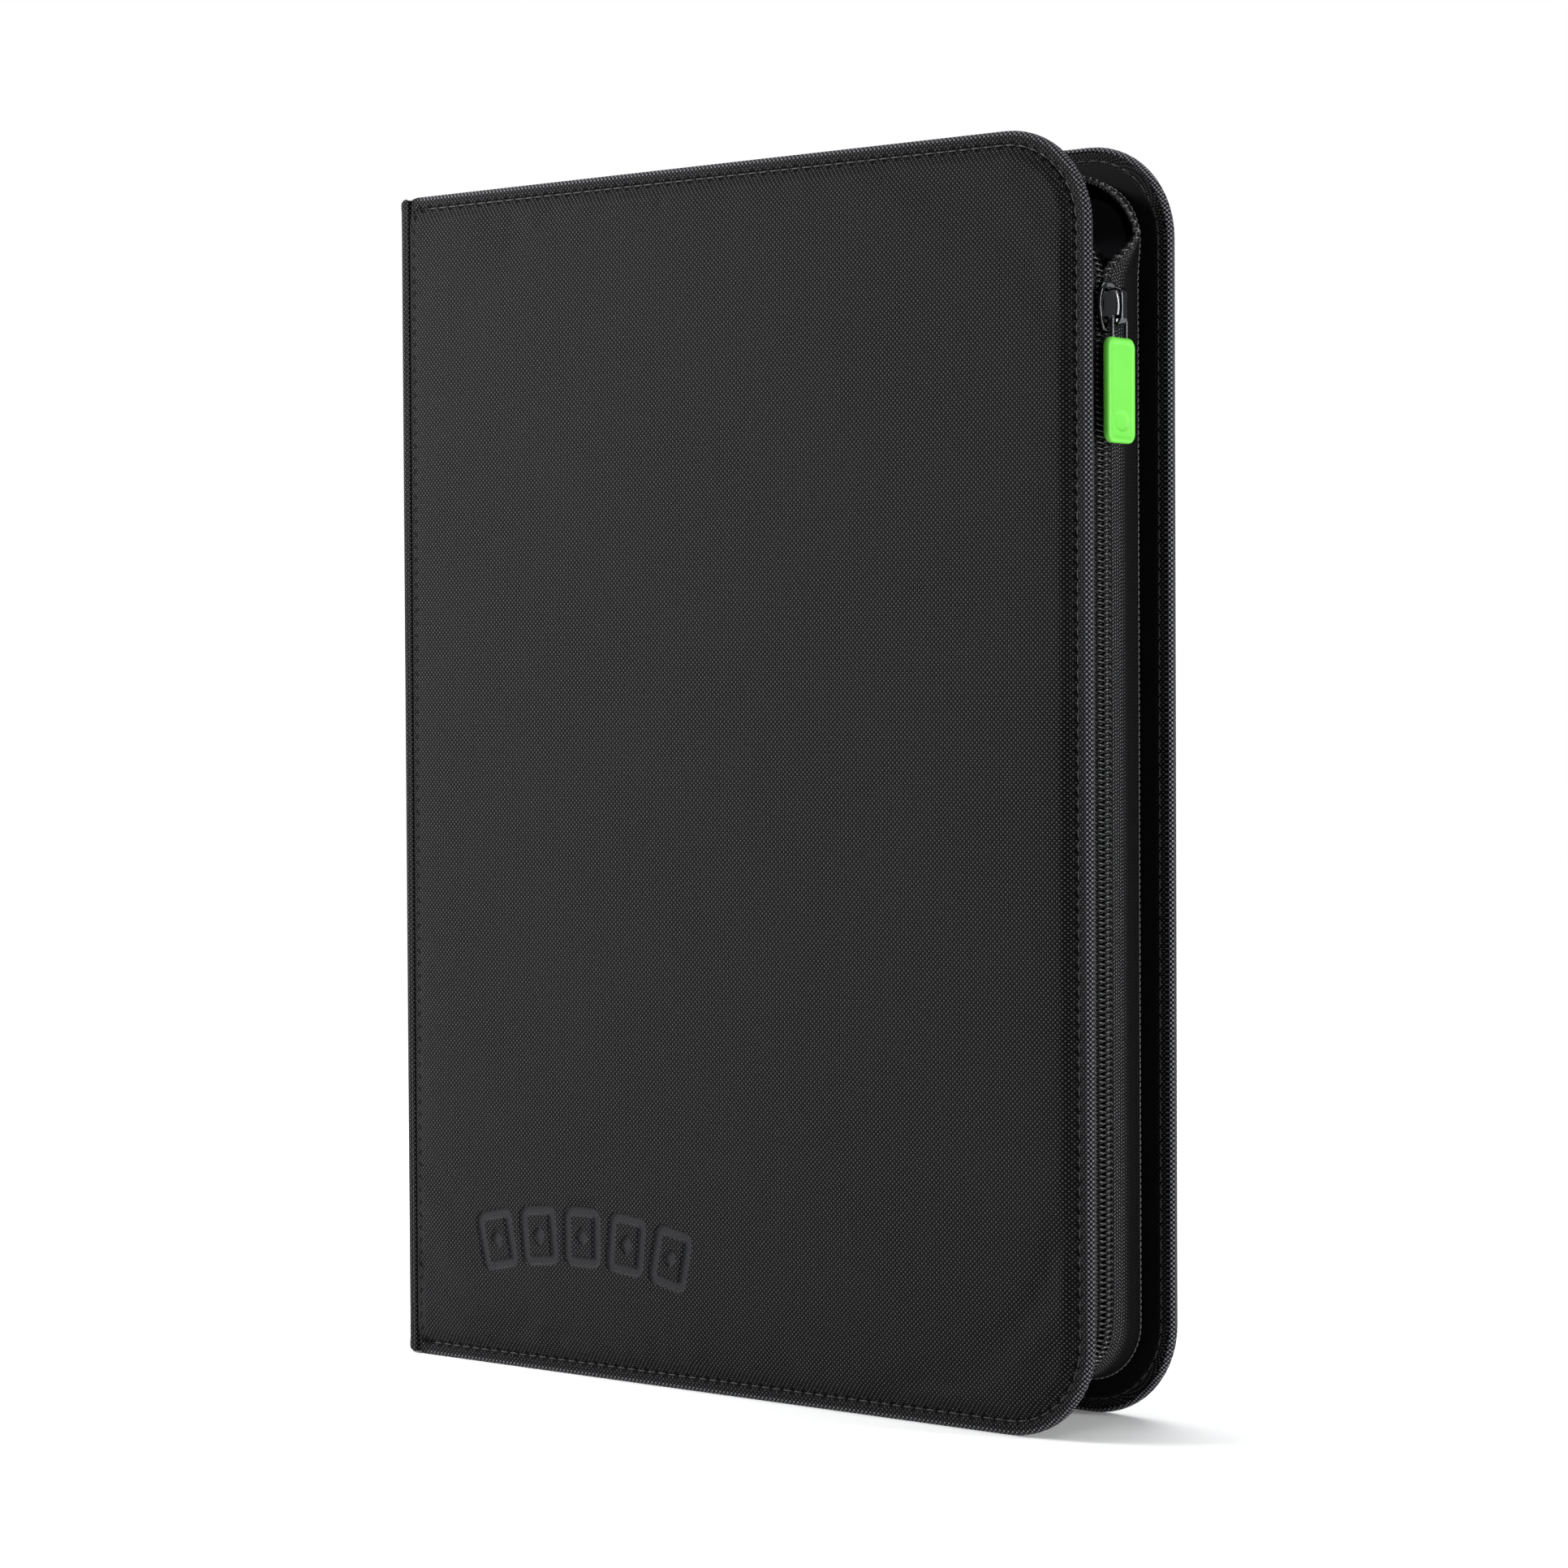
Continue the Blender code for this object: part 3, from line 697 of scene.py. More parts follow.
def pressed(x, z):
    """1 in the emblem's strokes, 0 outside them, with a soft shoulder."""
    shape = np.min([card_distance(x, z, place) for place in range(-2, 3)], 0)
    return 1 - smooth((shape - STROKE_HALF + 0.0002) / 0.0005)


def outer_depth(x, z, emblem=False):
    """Depth of a cover's outer face over its whole outline."""
    inset = edge_distance(x, z)
    swell = crown(x, z)
    edge = EDGE_TOP - rounding(inset, EDGE_ROUND)
    edge += (FACE - EDGE_TOP) * smooth((inset - RISE_START) / RISE_RUN)
    edge -= GROOVE_DEPTH * bell(inset - STITCH_INSET, GROOVE_WIDTH)
    edge += swell * smooth((inset - RISE_START) / SWELL_RUN)
    spine = FACE - rounding(x - PANEL_START, SPINE_ROUND) + swell * smooth((x - PANEL_START) / SWELL_RUN)
    share = np.clip(0.5 + (spine - edge) / (2 * EDGE_BLEND), 0, 1)
    depth = spine * (1 - share) + edge * share - EDGE_BLEND * share * (1 - share)
    if emblem:
        depth = depth - EMBLEM_DEPTH * pressed(x, z)
    return depth


def inner_depth(x, z):
    """Depth of the turned-in hem round the inside."""
    edge = LINING_FACE + rounding(edge_distance(x, z), EDGE_ROUND)
    return np.maximum(edge, LINING_FACE + rounding(x - PANEL_START, 0.0005))


def unevenness(x, z, size, length):
    """Slight hand-made waviness, the same each run."""
    return np.array([size * noise.noise(Vector((a / length, b / length, 0.7))) for a, b in zip(x, z)])


def profile_stations():
    """(inset, spine inset, unrolled inset, where) from the hem round the edge to the face.

    where is inner, wall or outer; the unrolled inset carries the weave round the edge."""
    quarter = EDGE_ROUND * math.pi / 2
    wall = EDGE_TOP - LINING_FACE - 2 * EDGE_ROUND
    outer_start = EDGE_ROUND - quarter
    inner_start = outer_start - wall - quarter
    bends = [math.pi / 12 * k for k in range(7)]
    stations = []
    for inset in (TURNED_IN - 0.0004, 0.0092, 0.0075, 0.0058, 0.0042, 0.0030, 0.0021):
        spread = inner_start - (inset - EDGE_ROUND)
        stations.append((inset, inset * TURNED_IN_SPINE / TURNED_IN, spread, "inner"))
    for angle in bends:
        inset = EDGE_ROUND * (1 - math.cos(angle))
        stations.append((inset, inset * 0.4, inner_start + EDGE_ROUND * angle, "inner"))
    stations.append((0.0, 0.0, outer_start - wall / 2, "wall"))
    for angle in bends:
        inset = EDGE_ROUND * (1 - math.cos(angle))
        stations.append((inset, inset * SPINE_ROUND / EDGE_ROUND, outer_start + EDGE_ROUND * angle, "outer"))
    flat = (0.0018, 0.0023, 0.0028, 0.0031, 0.0033, 0.0035, 0.0037, 0.0039, 0.0041, 0.0043)
    flat += (0.0046, 0.0050, 0.0055, 0.0061, 0.0068, 0.0076, 0.0086, 0.0100, 0.0120)
    return stations + [(inset, inset * 0.6, inset, "outer") for inset in flat]


def cover_cloth(name, side, paint):
    """The fabric round one cover: hem, rounded edge, stitched border and padded face."""
    emblem = name == "front"
    outline = Outline(COVER_STEP, EMBLEM_X, EMBLEM_Z) if emblem else Outline(COVER_STEP)
    hem = outline.ring(TURNED_IN, TURNED_IN_SPINE)
    places, unrolled = [hem], [hem]
    depths = [np.full(outline.count, LINING_FACE + 0.0005)]
    insets = [np.full(outline.count, -TURNED_IN)]
    for inset, spine_inset, spread, where in profile_stations():
        ring = outline.ring(inset, spine_inset)
        inner, outer = inner_depth(*ring.T), outer_depth(*ring.T, emblem)
        places.append(ring)
        depths.append({"inner": inner, "wall": (inner + outer) / 2, "outer": outer}[where])
        unrolled.append(outline.ring(spread, spine_inset + spread - inset))
        insets.append(np.full(outline.count, inset if where == "outer" else -inset))
    runs = np.tile(run_lengths(outline.ring(STITCH_INSET, STITCH_INSET)), len(places))
    patch, table = outline.patch(places[-1])
    places.append(patch)
    depths.append(outer_depth(*patch.T, emblem))
    unrolled.append(patch)
    insets.append(np.full(len(patch), 0.02))
    insets = np.concatenate(insets)
    x, z = np.concatenate(places).T
    depth = np.concatenate(depths) + np.where(insets > RISE_START, unevenness(x, z, 0.00007, 0.02), 0)
    mesh = capped_mesh(
        name + "_cover_cloth", side, places, [depth], table, LINING_FACE + 0.0006, np.concatenate(unrolled)
    )
    runs = np.concatenate([runs, np.zeros(len(patch) + 1)])
    add_uv(mesh, "border", np.stack([runs, np.append(insets, -TURNED_IN)], 1))
    strokes = np.append(pressed(x, z) * (depth > EDGE_TOP) * emblem, 0)
    mask = mesh.attributes.new("pressed", "FLOAT", "POINT")
    mask.data.foreach_set("value", strokes.astype(np.float32))
    piece = add_piece(mesh, name + "_cover", paint, [name + "_cover_fabric"])


def layer_mesh(name, side, step, rings, patch_depth, back, flip=False):
    """A closed pad from rings of (inset, spine inset, depth) and a patch over the middle.

    A depth is a number or a function of x and z."""
    outline = Outline(step)
    places = [outline.ring(inset, spine_inset) for inset, spine_inset, _ in rings]
    patch, table = outline.patch(places[-1])
    places.append(patch)
    depths = []
    for ring, depth in zip(places, [ring[2] for ring in rings] + [patch_depth]):
        depths.append(depth(*ring.T) if callable(depth) else np.full(len(ring), depth))
    return capped_mesh(name, side, places, depths, table, back, flip=flip)


def foam_face(x, z):
    """Depth of the foam's outer face, under the padded cloth."""
    return outer_depth(x, z) - FOAM_BELOW


def foam_pad(name, side, paint):
    """The foam under the padded face, cut back from the stitching."""
    steps = ((0.0, FOAM_BACK), (0.0, FOAM_BACK + 0.0003), (0.0005, foam_face))
    rings = [(FOAM_INSET + inward, FOAM_INSET_SPINE + inward, depth) for inward, depth in steps]
    mesh = layer_mesh(name + "_foam_pad", side, 0.010, rings, foam_face, FOAM_BACK)
    add_piece(mesh, name + "_cover", paint, [name + "_cover_foam"])


def pillowed(x, z):
    """Depth of the lining, softly uneven."""
    return LINING_FACE - 0.0001 + unevenness(x, z, 0.00012, 0.035)


def lining_cloth(name, side, paint):
    """The smooth inner lining, tucked behind the turned-in hem."""
    steps = ((-0.0001, 0.00042), (0.0, 0.00020), (0.0003, 0.00006), (0.0009, 0.0), (0.003, -0.00006))
    steps += ((0.008, -0.0001),)
    rings = []
    for inward, drop in steps:
        inward += LINING_GAP
        rings.append((TURNED_IN + inward, TURNED_IN_SPINE + inward, LINING_FACE + drop))
    back = LINING_FACE + 0.00044
    mesh = layer_mesh(name + "_lining_cloth", side, 0.006, rings, pillowed, back, flip=True)
    add_piece(mesh, name + "_cover", paint, [name + "_cover_lining"])


def groove_floor(x, z, drop):
    """Depth of a thread in the groove of the outer face, pulled in by drop."""
    return outer_depth(x, z) + 0.00008 - drop


def hem_face(x, z, drop):
    """Depth of a thread on the hem inside, pulled in by drop."""
    return inner_depth(x, z) - 0.00010 + drop


def stitches(name, side, body, length, radius, depth_of, paint):
    """A row of separate threads round a cover; each dives into the cloth at both ends."""
    outline = Outline(0.001)
    route = outline.ring(STITCH_INSET, STITCH_INSET)[: 2 * outline.across + outline.up + 1]
    runs = run_lengths(route)
    share = np.array([-0.5, -0.42, -0.2, 0.0, 0.2, 0.42, 0.5])
    drop = np.array([1.0, 0.45, 0.08, 0.0, 0.08, 0.45, 1.0]) * STITCH_SINK
    soup = Soup()
    for k in range(int(runs[-1] / STITCH_PITCH)):
        along = (k + 0.5) * STITCH_PITCH + share * length
        x, z = np.interp(along, runs, route[:, 0]), np.interp(along, runs, route[:, 1])
        soup.add(*tube(np.stack([x, side * depth_of(x, z, drop), z], 1), radius, 6))
    add_piece(soup.mesh(name), body, paint)


# Spine and creases


def arch_point(share, inset):
    """(x, y) on the spine's rounded back; share runs 0..1 from the back crease to the front."""
    angle = math.pi / 2 - math.pi * share
    along = math.copysign(abs(math.sin(angle)) ** (2 / SPINE_ROUNDNESS), math.sin(angle))
    out = max(math.cos(angle), 0.0) ** (2 / SPINE_ROUNDNESS)
    return SPINE_FRONT - (SPINE_DEPTH - inset) * out, (SPINE_HALF - inset) * along


def spine_cloth(paint):
    """Fabric over the spine: a padded arch with rolled ends, open towards the leaves."""
    levels = [0.0002, 0.0003, 0.0006, 0.0011, 0.0018, 0.0028, 0.0042, 0.0065]
    heights = levels + list(np.linspace(0.012, HEIGHT - 0.012, 80)) + [HEIGHT - z for z in levels[::-1]]
    steps = 56
    lengths = run_lengths([arch_point(k / steps, 0) for k in range(steps + 1)])
    points, uv = [], []
    for z in heights:
        end = min(z, HEIGHT - z)
        tuck = 0.0012 * max(0.0, 1 - end / 0.0016) ** 2
        swell = SPINE_FLARE * bell(end - 0.0016, 0.0035) - 0.00035 * bell(end - STITCH_INSET, GROOVE_WIDTH)
        for k in range(steps + 1):
            x, y = arch_point(k / steps, tuck - swell * math.sin(math.pi * k / steps))
            points.append((SPINE_FRONT if k in (0, steps) else x, y, z))
            uv.append((lengths[k], z))
    mesh = cloth_strip("spine_cloth", points, len(heights), uv, -1, CLOTH_THICKNESS)
    add_piece(mesh, "spine", paint, ["spine_fabric"])


def smooth_route(points, parts):
    """A Catmull-Rom line through given points."""
    points = [np.array(p, float) for p in points]
    padded = [2 * points[0] - points[1], *points, 2 * points[-1] - points[-2]]
    spans = zip(padded, padded[1:], padded[2:], padded[3:])
    return np.array([spline(*span, k / parts) for span in spans for k in range(parts)] + [points[-1]])


def crease_cloth(name, side, paint):
    """The fabric between spine and cover, a soft ridge."""
    gap = PANEL_START - SPINE_FRONT
    ridge = ((-0.0012, -0.0006), (-0.0004, 0.0002), (0.0002, 0.0007), (0.0008, 0.0012), (0.00135, 0.0014))
    ridge += ((0.0019, 0.0012), (0.0024, 0.0006), (gap + 0.0003, -0.0002), (gap + 0.0010, -0.0008))
    route = smooth_route([(SPINE_FRONT + x, HINGE_Y + y) for x, y in ridge], 4)
    ends = [0.0008, 0.0012, 0.0022]
    heights = ends + list(np.linspace(0.005, HEIGHT - 0.005, 110)) + [HEIGHT - z for z in ends[::-1]]
    points, uv = [], []
    for z in heights:
        pucker = 0.00008 * math.sin(2 * math.pi * z / 0.0052)
        for (x, y), run in zip(route, run_lengths(route)):
            points.append((x, side * (y + pucker), z))
            uv.append((run, z))
    mesh = cloth_strip(name + "_crease_cloth", points, len(heights), uv, -1, CLOTH_THICKNESS, side > 0)
    piece = add_piece(mesh, None, paint, [name + "_hinge_strip"])
    y = side * HINGE_Y
    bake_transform(piece)


# Card leaves


def leaf_mesh(low, high):
    """One nine-pocket leaf: welded lines between pillowed pockets on both faces."""
    width, height = high.x - low.x, high.z - low.z
    half = (high.y - low.y) / 2
    margin_spine, margin, corner = 0.0105, 0.0030, 0.003
    pocket_w = (width - margin_spine - margin) / 3
    pocket_h = (height - 2 * margin) / 3

    def marks(start, size):
        """Grid lines across three pockets, close together at the welds."""
        inside = [0.0004, 0.0014, 0.006, size / 2, size - 0.006, size - 0.0014, size - 0.0004]
        return [start + k * size + step for k in range(3) for step in inside]

    def lift(x, z):
        """Share of the half thickness: low on the welds, full in a pocket."""
        across, up = (x - margin_spine) / pocket_w, (z - margin) / pocket_h
        if not (0 < across < 3 and 0 < up < 3):
            return 0.45
        edge, rim = min(across % 1, 1 - across % 1), min(up % 1, 1 - up % 1)
        return 0.45 + 0.5 * float(smooth(min(edge * pocket_w, rim * pocket_h) / 0.0030))

    xs = [0.0, 0.0006, 0.006] + marks(margin_spine, pocket_w) + [width - 0.0008, width]
    zs = [0.0, 0.0006] + marks(margin, pocket_h) + [height - 0.0006, height]
    points, welds = [], []
    for side in SIDES.values():
        for z in zs:
            for x in xs:
                a, b = np.clip(x, corner, width - corner), np.clip(z, corner, height - corner)
                pull = min(1.0, corner / max(math.hypot(x - a, z - b), 1e-9))
                on_rim = x in (0.0, width) or z in (0.0, height)
                rise = 0.25 if on_rim else lift(x, z)
                welds.append(float(rise < 0.5))
                points.append((low.x + a + (x - a) * pull, side * half * rise, low.z + b + (z - b) * pull))
    mesh = mesh_from("card_leaf", points, shell_faces(len(zs), len(xs)))
    mesh.attributes.new("weld", "FLOAT", "POINT").data.foreach_set("value", welds)
    mesh.set_sharp_from_angle(angle=math.radians(50))
    return mesh


def card_leaves(paint):
    leaves = sorted(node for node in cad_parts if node.startswith("leaf_"))
    shared = leaf_mesh(*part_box(leaves[0]))
    shared.materials.append(paint)
    for node in leaves:
        low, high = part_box(node)
        piece = new_object("card_" + node, shared)
        piece.location.y = (low.y + high.y) / 2
        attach(piece, "page_" + node[-2:])
        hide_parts(node)


def binding_strip(paint):
    """The ribbed strip that holds the leaves: a slot beside each leaf's edge."""
    low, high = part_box("page_binding")
    leaves = [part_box(node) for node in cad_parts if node.startswith("leaf_")]
    middles = sorted((leaf_low.y + leaf_high.y) / 2 for leaf_low, leaf_high in leaves)
    pitch = middles[1] - middles[0]
    outline = [(low.x, low.y), (high.x - 0.0006, low.y), (high.x, low.y + 0.0005)]
    for y in middles:
        slot = ((0.0, -0.30), (0.0012, -0.16), (0.0012, 0.16), (0.0, 0.30))
        outline += [(high.x - depth, y + share * pitch) for depth, share in slot]
    outline += [(high.x, high.y - 0.0005), (high.x - 0.0006, high.y), (low.x, high.y)]
    points = [(x, y, z) for z in (low.z, low.z + 0.0004, high.z - 0.0004, high.z) for x, y in outline]
    mesh = mesh_from("binding_strip", points, bar_faces(4, len(outline)))
    mesh.set_sharp_from_angle(angle=math.radians(35))
    add_piece(mesh, "spine", paint, ["page_binding"])


# Zip


def zip_stations(step):
    """Rows of x, z, outward x, outward z, run past the slider's mouth and run."""
    total = 2 * ZIP_FLAT + 2 * ZIP_QUARTER + ZIP_STRAIGHT
    run = np.linspace(0, total, round(total / step) + 1)
    beside = run - ZIP_FLAT - ZIP_QUARTER
    turns = np.clip((run - ZIP_FLAT) / ZIP_QUARTER, 0, 1)
    turns += np.clip((beside - ZIP_STRAIGHT) / ZIP_QUARTER, 0, 1)
    out_x, out_z = np.sin(turns * math.pi / 2), -np.cos(turns * math.pi / 2)
    x = ZIP_START + np.minimum(run, ZIP_FLAT) - np.maximum(run - total + ZIP_FLAT, 0) + ZIP_RADIUS * out_x
    z = CORNER_RADIUS + np.clip(beside, 0, ZIP_STRAIGHT) + ZIP_RADIUS * out_z
    past = np.maximum(beside - MOUTH + CORNER_RADIUS, 0)
    return np.stack([x, z, out_x, out_z, past, run], 1)


def on_tape(name, stations, reach, lift=0.0):
    """Points on a tape, reach from its sewn edge, lifted off it towards the outside.

    Past the slider's mouth a tape leans aside, and round the bottom corner it drifts in."""
    x, z, out_x, out_z, past, _ = stations.T
    beside, above = LEANS[name]
    turned = np.maximum(np.arctan2(out_z, out_x), 0) / (math.pi / 2)
    lean = np.radians(beside + (above - beside) * turned) * smooth(past / OPENING_RUNS[name])
    corner = smooth((x - 0.06) / 0.045) * max(reach / TAPE_REACH, 0.0) ** 1.4
    inward = 0.0022 * (1 - smooth((z - 0.010) / 0.024)) * corner
    back = 0.0006 * bell(z - 0.020, 0.007) * corner
    moved = reach * np.sin(lean) + lift * np.cos(lean) - inward
    depth = TAPE_BASE - reach * np.cos(lean) + lift * np.sin(lean)
    return np.stack([x + out_x * moved, SIDES[name] * depth + back, z + out_z * moved], 1)


def zip_tape(name, paint):
    """A woven ribbon: a flange sewn on the lining, a bend, and the upright part to the coil."""
    stations = zip_stations(0.0022)
    x, z, out_x, out_z, _, run = stations.T
    flange = ((-0.0040, 0.0), (-0.0028, 0.0), (-0.0014, 0.0001), (-0.0005, 0.0003), (-0.0001, 0.0007))
    under = ((-0.0019, -0.00025), (-0.0012, -0.0006), (-0.0004, -0.00075), (0.0003, -0.00075))
    lines = []
    for out, reach in flange:
        depth = SIDES[name] * (TAPE_BASE - reach)
        lines.append(np.stack([x + out_x * out, np.full(len(x), depth), z + out_z * out], 1))
    lines += [on_tape(name, stations, reach) for reach in np.linspace(0.0012, TAPE_REACH - 0.0026, 8)]
    lines += [on_tape(name, stations, TAPE_REACH + reach, lift) for reach, lift in under]
    grid = np.stack(lines, 1)
    across = np.array([run_lengths(row) for row in grid])
    uv = np.stack([np.broadcast_to(run[:, None], across.shape), across], 2).reshape(-1, 2)
    mesh = cloth_strip(name + "_zip_tape_cloth", grid.reshape(-1, 3), len(grid), uv, 0, TAPE_THICKNESS)
    add_piece(mesh, name + "_cover", paint, [name + "_zip_tape"])


def along_run(places, runs, rows):
    """Rows of numbers, read off between the stations at new places along the run."""
    return np.stack([np.interp(places, runs, column) for column in rows.T], 1)


def zip_coil(name, paint):
    """A monofilament wound in flattened loops, half a pitch out of step with the other."""
    stations = zip_stations(0.001)
    runs, out_z = stations[:, 5], stations[:, 3]
    middle = on_tape(name, stations, TAPE_REACH, 0.0001)
    across = (on_tape(name, stations, TAPE_REACH + 0.001, 0.0001) - middle) / 0.001
    lifted = (on_tape(name, stations, TAPE_REACH, 0.0011) - middle) / 0.001
    start = 0.0004
    loops = int((runs[-1] - 2 * start) / TOOTH_PITCH)
    turns = np.arange(loops * LOOP_STEPS + 1) / LOOP_STEPS
    offset = 0.5 if name == "back" else 0.0
    places = np.clip(start + (turns + offset) * TOOTH_PITCH, 0, runs[-1])
    cos, sin = np.cos(2 * math.pi * turns), np.sin(2 * math.pi * turns)
    above = np.interp(places, runs, np.maximum(out_z, 0.0))
    swing = COIL_HALF_WIDTH * np.sign(cos) * np.abs(cos) ** 0.8
    rise = COIL_HALF_RISE * np.sign(sin) * np.abs(sin) ** 0.8 * (1 - 0.65 * above)
    path = along_run(places, runs, middle)
    path += along_run(places, runs, across) * swing[:, None] + along_run(places, runs, lifted) * rise[:, None]
    mesh = mesh_from(name + "_coil_teeth", *tube(path, COIL_WIRE * (1 - 0.4 * above), 6))
    add_piece(faced_out(mesh), name + "_cover", paint, [name + "_zip_coil"])


def seam_stitches(name, paint):
    """Short threads along the foot of a tape, where it is sewn to the cover."""
    stations = zip_stations(0.001)
    runs = stations[:, 5]
    under = on_tape(name, stations, SEAM_REACH)
    over = on_tape(name, stations, SEAM_REACH, 0.001) - under
    share = np.array([-0.5, -0.36, 0.0, 0.36, 0.5]) * 0.78
    lift = np.array([0.05, 0.34, 0.42, 0.34, 0.05])[:, None]
    soup = Soup()
    for k in range(int(runs[-1] / SEAM_PITCH) - 1):
        places = (k + 0.8 + share) * SEAM_PITCH
        soup.add(*tube(along_run(places, runs, under) + along_run(places, runs, over) * lift, 0.00017, 5))
    add_piece(soup.mesh(name + "_seam_thread"), name + "_cover", paint)


def end_stop(node, body, paint):
    """A moulded stop: a rounded saddle with a raised middle over the coil's end."""
    low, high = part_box(node)
    shape = bmesh.new()
    bmesh.ops.create_cube(shape, size=1.0)
    bmesh.ops.subdivide_edges(shape, edges=shape.edges, cuts=4, use_grid_fill=True)
    for vert in shape.verts:
        p = vert.co * 2
        squash = 1 - 0.16 * (abs(p.x) ** 3) - 0.10 * (abs(p.z) ** 3)
        rim = 1 - 0.12 * max(abs(p.y), abs(p.z)) ** 4
        waist = 1 - 0.14 * math.exp(-((p.x / 0.3) ** 2)) * abs(p.y)
        vert.co = Vector((p.x * rim, p.y * squash * waist, p.z * squash * rim)) / 2
    bmesh.ops.scale(shape, vec=high - low, verts=shape.verts)
    bmesh.ops.translate(shape, vec=(low + high) / 2, verts=shape.verts)
    mesh = modified(mesh_of(node + "_moulding", shape), "SUBSURF", levels=1)
    add_piece(mesh, body, paint, [node])


# Slider and pull


def shield(steps):
    """(y, z) points of the slider's plate: round shoulders above, narrower tail below."""
    half = [(0.0, 1.0), (0.42, 0.93), (0.80, 0.62), (1.0, 0.14), (0.90, -0.34), (0.74, -0.72), (0.55, -1.0)]
    half.append((0.0, -1.0))
    loop = [np.array(p) for p in half + [(-y, z) for y, z in half[-2:0:-1]]]
    points = []
    for k in range(steps):
        place = k / steps * len(loop)
        corners = [loop[(int(place) + n) % len(loop)] for n in (-1, 0, 1, 2)]
        points.append(spline(*corners, place % 1))
    return points


def slider_plate(soup, face_x, direction):
    """A plate with a rolled edge, a raised rim and a slightly sunken, crowned middle."""
    half_y, half_z = 0.0050, 0.00675
    shape = shield(64)
    rings = [(0.30, 0.0), (0.86, 0.0), (0.95, 0.0001), (1.0, 0.00035), (1.0, 0.0007), (0.975, PLATE - 0.0001)]
    rings += [(0.94, PLATE), (0.88, PLATE), (0.83, PLATE - 0.00012), (0.78, PLATE - 0.00028)]
    rings += [(0.66, PLATE - 0.00022), (0.45, PLATE - 0.00012), (0.2, PLATE - 0.00008)]
    points = []
    for scale, depth in rings:
        for y, z in shape:
            place = (y * scale * half_y, SLIDER_Z + 0.00025 + z * scale * half_z)
            points.append((face_x + direction * depth, *place))
    soup.add(points, bar_faces(len(rings), len(shape)))


def rounded_block(soup, centre, size, bevel):
    """A small block with rounded edges."""
    shape = bmesh.new()
    bmesh.ops.create_cube(shape, size=1.0)
    bmesh.ops.scale(shape, vec=size, verts=shape.verts)
    bmesh.ops.bevel(shape, geom=shape.edges[:], offset=bevel, segments=3, profile=0.5, affect="EDGES")
    bmesh.ops.translate(shape, vec=centre, verts=shape.verts)
    shape.verts.index_update()
    soup.add([tuple(v.co) for v in shape.verts], [tuple(v.index for v in f.verts) for f in shape.faces])
    shape.free()


def slider_body(paint):
    """Two plates, the thin web between them and four guides round the coils."""
    soup = Soup()
    for sign in (1, -1):
        slider_plate(soup, CHAIN_X + sign * PLATE_INNER, sign)
    web = (2 * PLATE_INNER + 0.0003, 0.0006, 0.0045)
    rounded_block(soup, (CHAIN_X, 0, SLIDER_Z + 0.0038), web, 0.0002)
    for y in (-0.0037, 0.0037):
        for x in (CHAIN_X - 0.0015, CHAIN_X + 0.0015):
            rounded_block(soup, (x, y, SLIDER_Z + 0.0003), (0.00140, 0.00095, 0.0046), 0.0003)
    mesh = soup.mesh("slider_shell")
    mesh.set_sharp_from_angle(angle=math.radians(50))
    add_piece(mesh, "slider", paint, ["slider_body"])


def slider_strap(paint):
    """The arched strap over the plate, crowned across and waisted at its top."""
    foot = PLATE_HIGH.x + 0.00005
    half_length, bend, wall = 0.0050, 0.0020, 0.0009
    quarter = [math.pi / 2 * k / 8 for k in range(9)]
    lower = [(CROWN_TOP - bend * (1 - math.sin(a)), bend * (1 - math.cos(a)) - half_length) for a in quarter]
    flat = [(CROWN_TOP, (-half_length + bend) * (1 - k / 3)) for k in range(1, 6)]
    route = [(foot, -half_length + 0.0001)] + lower + flat
    route += [(x, -z) for x, z in lower[-2::-1]] + [(foot, half_length - 0.0001)]
    tangents = np.gradient(np.array(route), axis=0)
    tangents /= np.linalg.norm(tangents, axis=1)[:, None]
    edge = [(-0.86, 0.0), (-1.0, 0.16), (-1.0, 0.6), (-0.9, 0.84), (-0.6, 0.97)]
    section = edge + [(0.0, 1.0)] + [(-across, rise) for across, rise in edge[::-1]] + [(0.0, 0.0)]
    points = []
    for (x, z), (along_x, along_z) in zip(route, tangents):
        width = 0.0016 - 0.00025 * bell(z, 0.0022)
        for across, rise in section:
            depth = (1 - rise) * wall
            points.append((x - along_z * depth, across * width, SLIDER_Z + z + along_x * depth))
    soup = Soup()
    soup.add(points, bar_faces(len(route), len(section)))
    mesh = soup.mesh("slider_strap")
    mesh.set_sharp_from_angle(angle=math.radians(50))
    add_piece(mesh, "slider", paint, ["slider_crown"])


def pull_link(paint):
    """Bent wire: over the axis, down both sides and into the tab."""
    centre_x, top = (LINK_LOW.x + LINK_HIGH.x) / 2, LINK_HIGH.z - LINK_WIRE
    half, bend = LINK_HIGH.y - LINK_WIRE, 0.0011
    left = [(-half, LINK_LOW.z - top), (-half, -0.0060), (-half, -0.0030)]
    for k in range(9):
        angle = math.pi / 2 * k / 8
        left.append((-half + bend - bend * math.cos(angle), -bend + bend * math.sin(angle)))
    path = [(centre_x, y, top + z) for y, z in left + [(-y, z) for y, z in left[::-1]]]
    soup = Soup()
    soup.add(*tube(path, LINK_WIRE, 12))
    add_piece(soup.mesh("pull_wire"), "pull", paint, ["pull_link"])


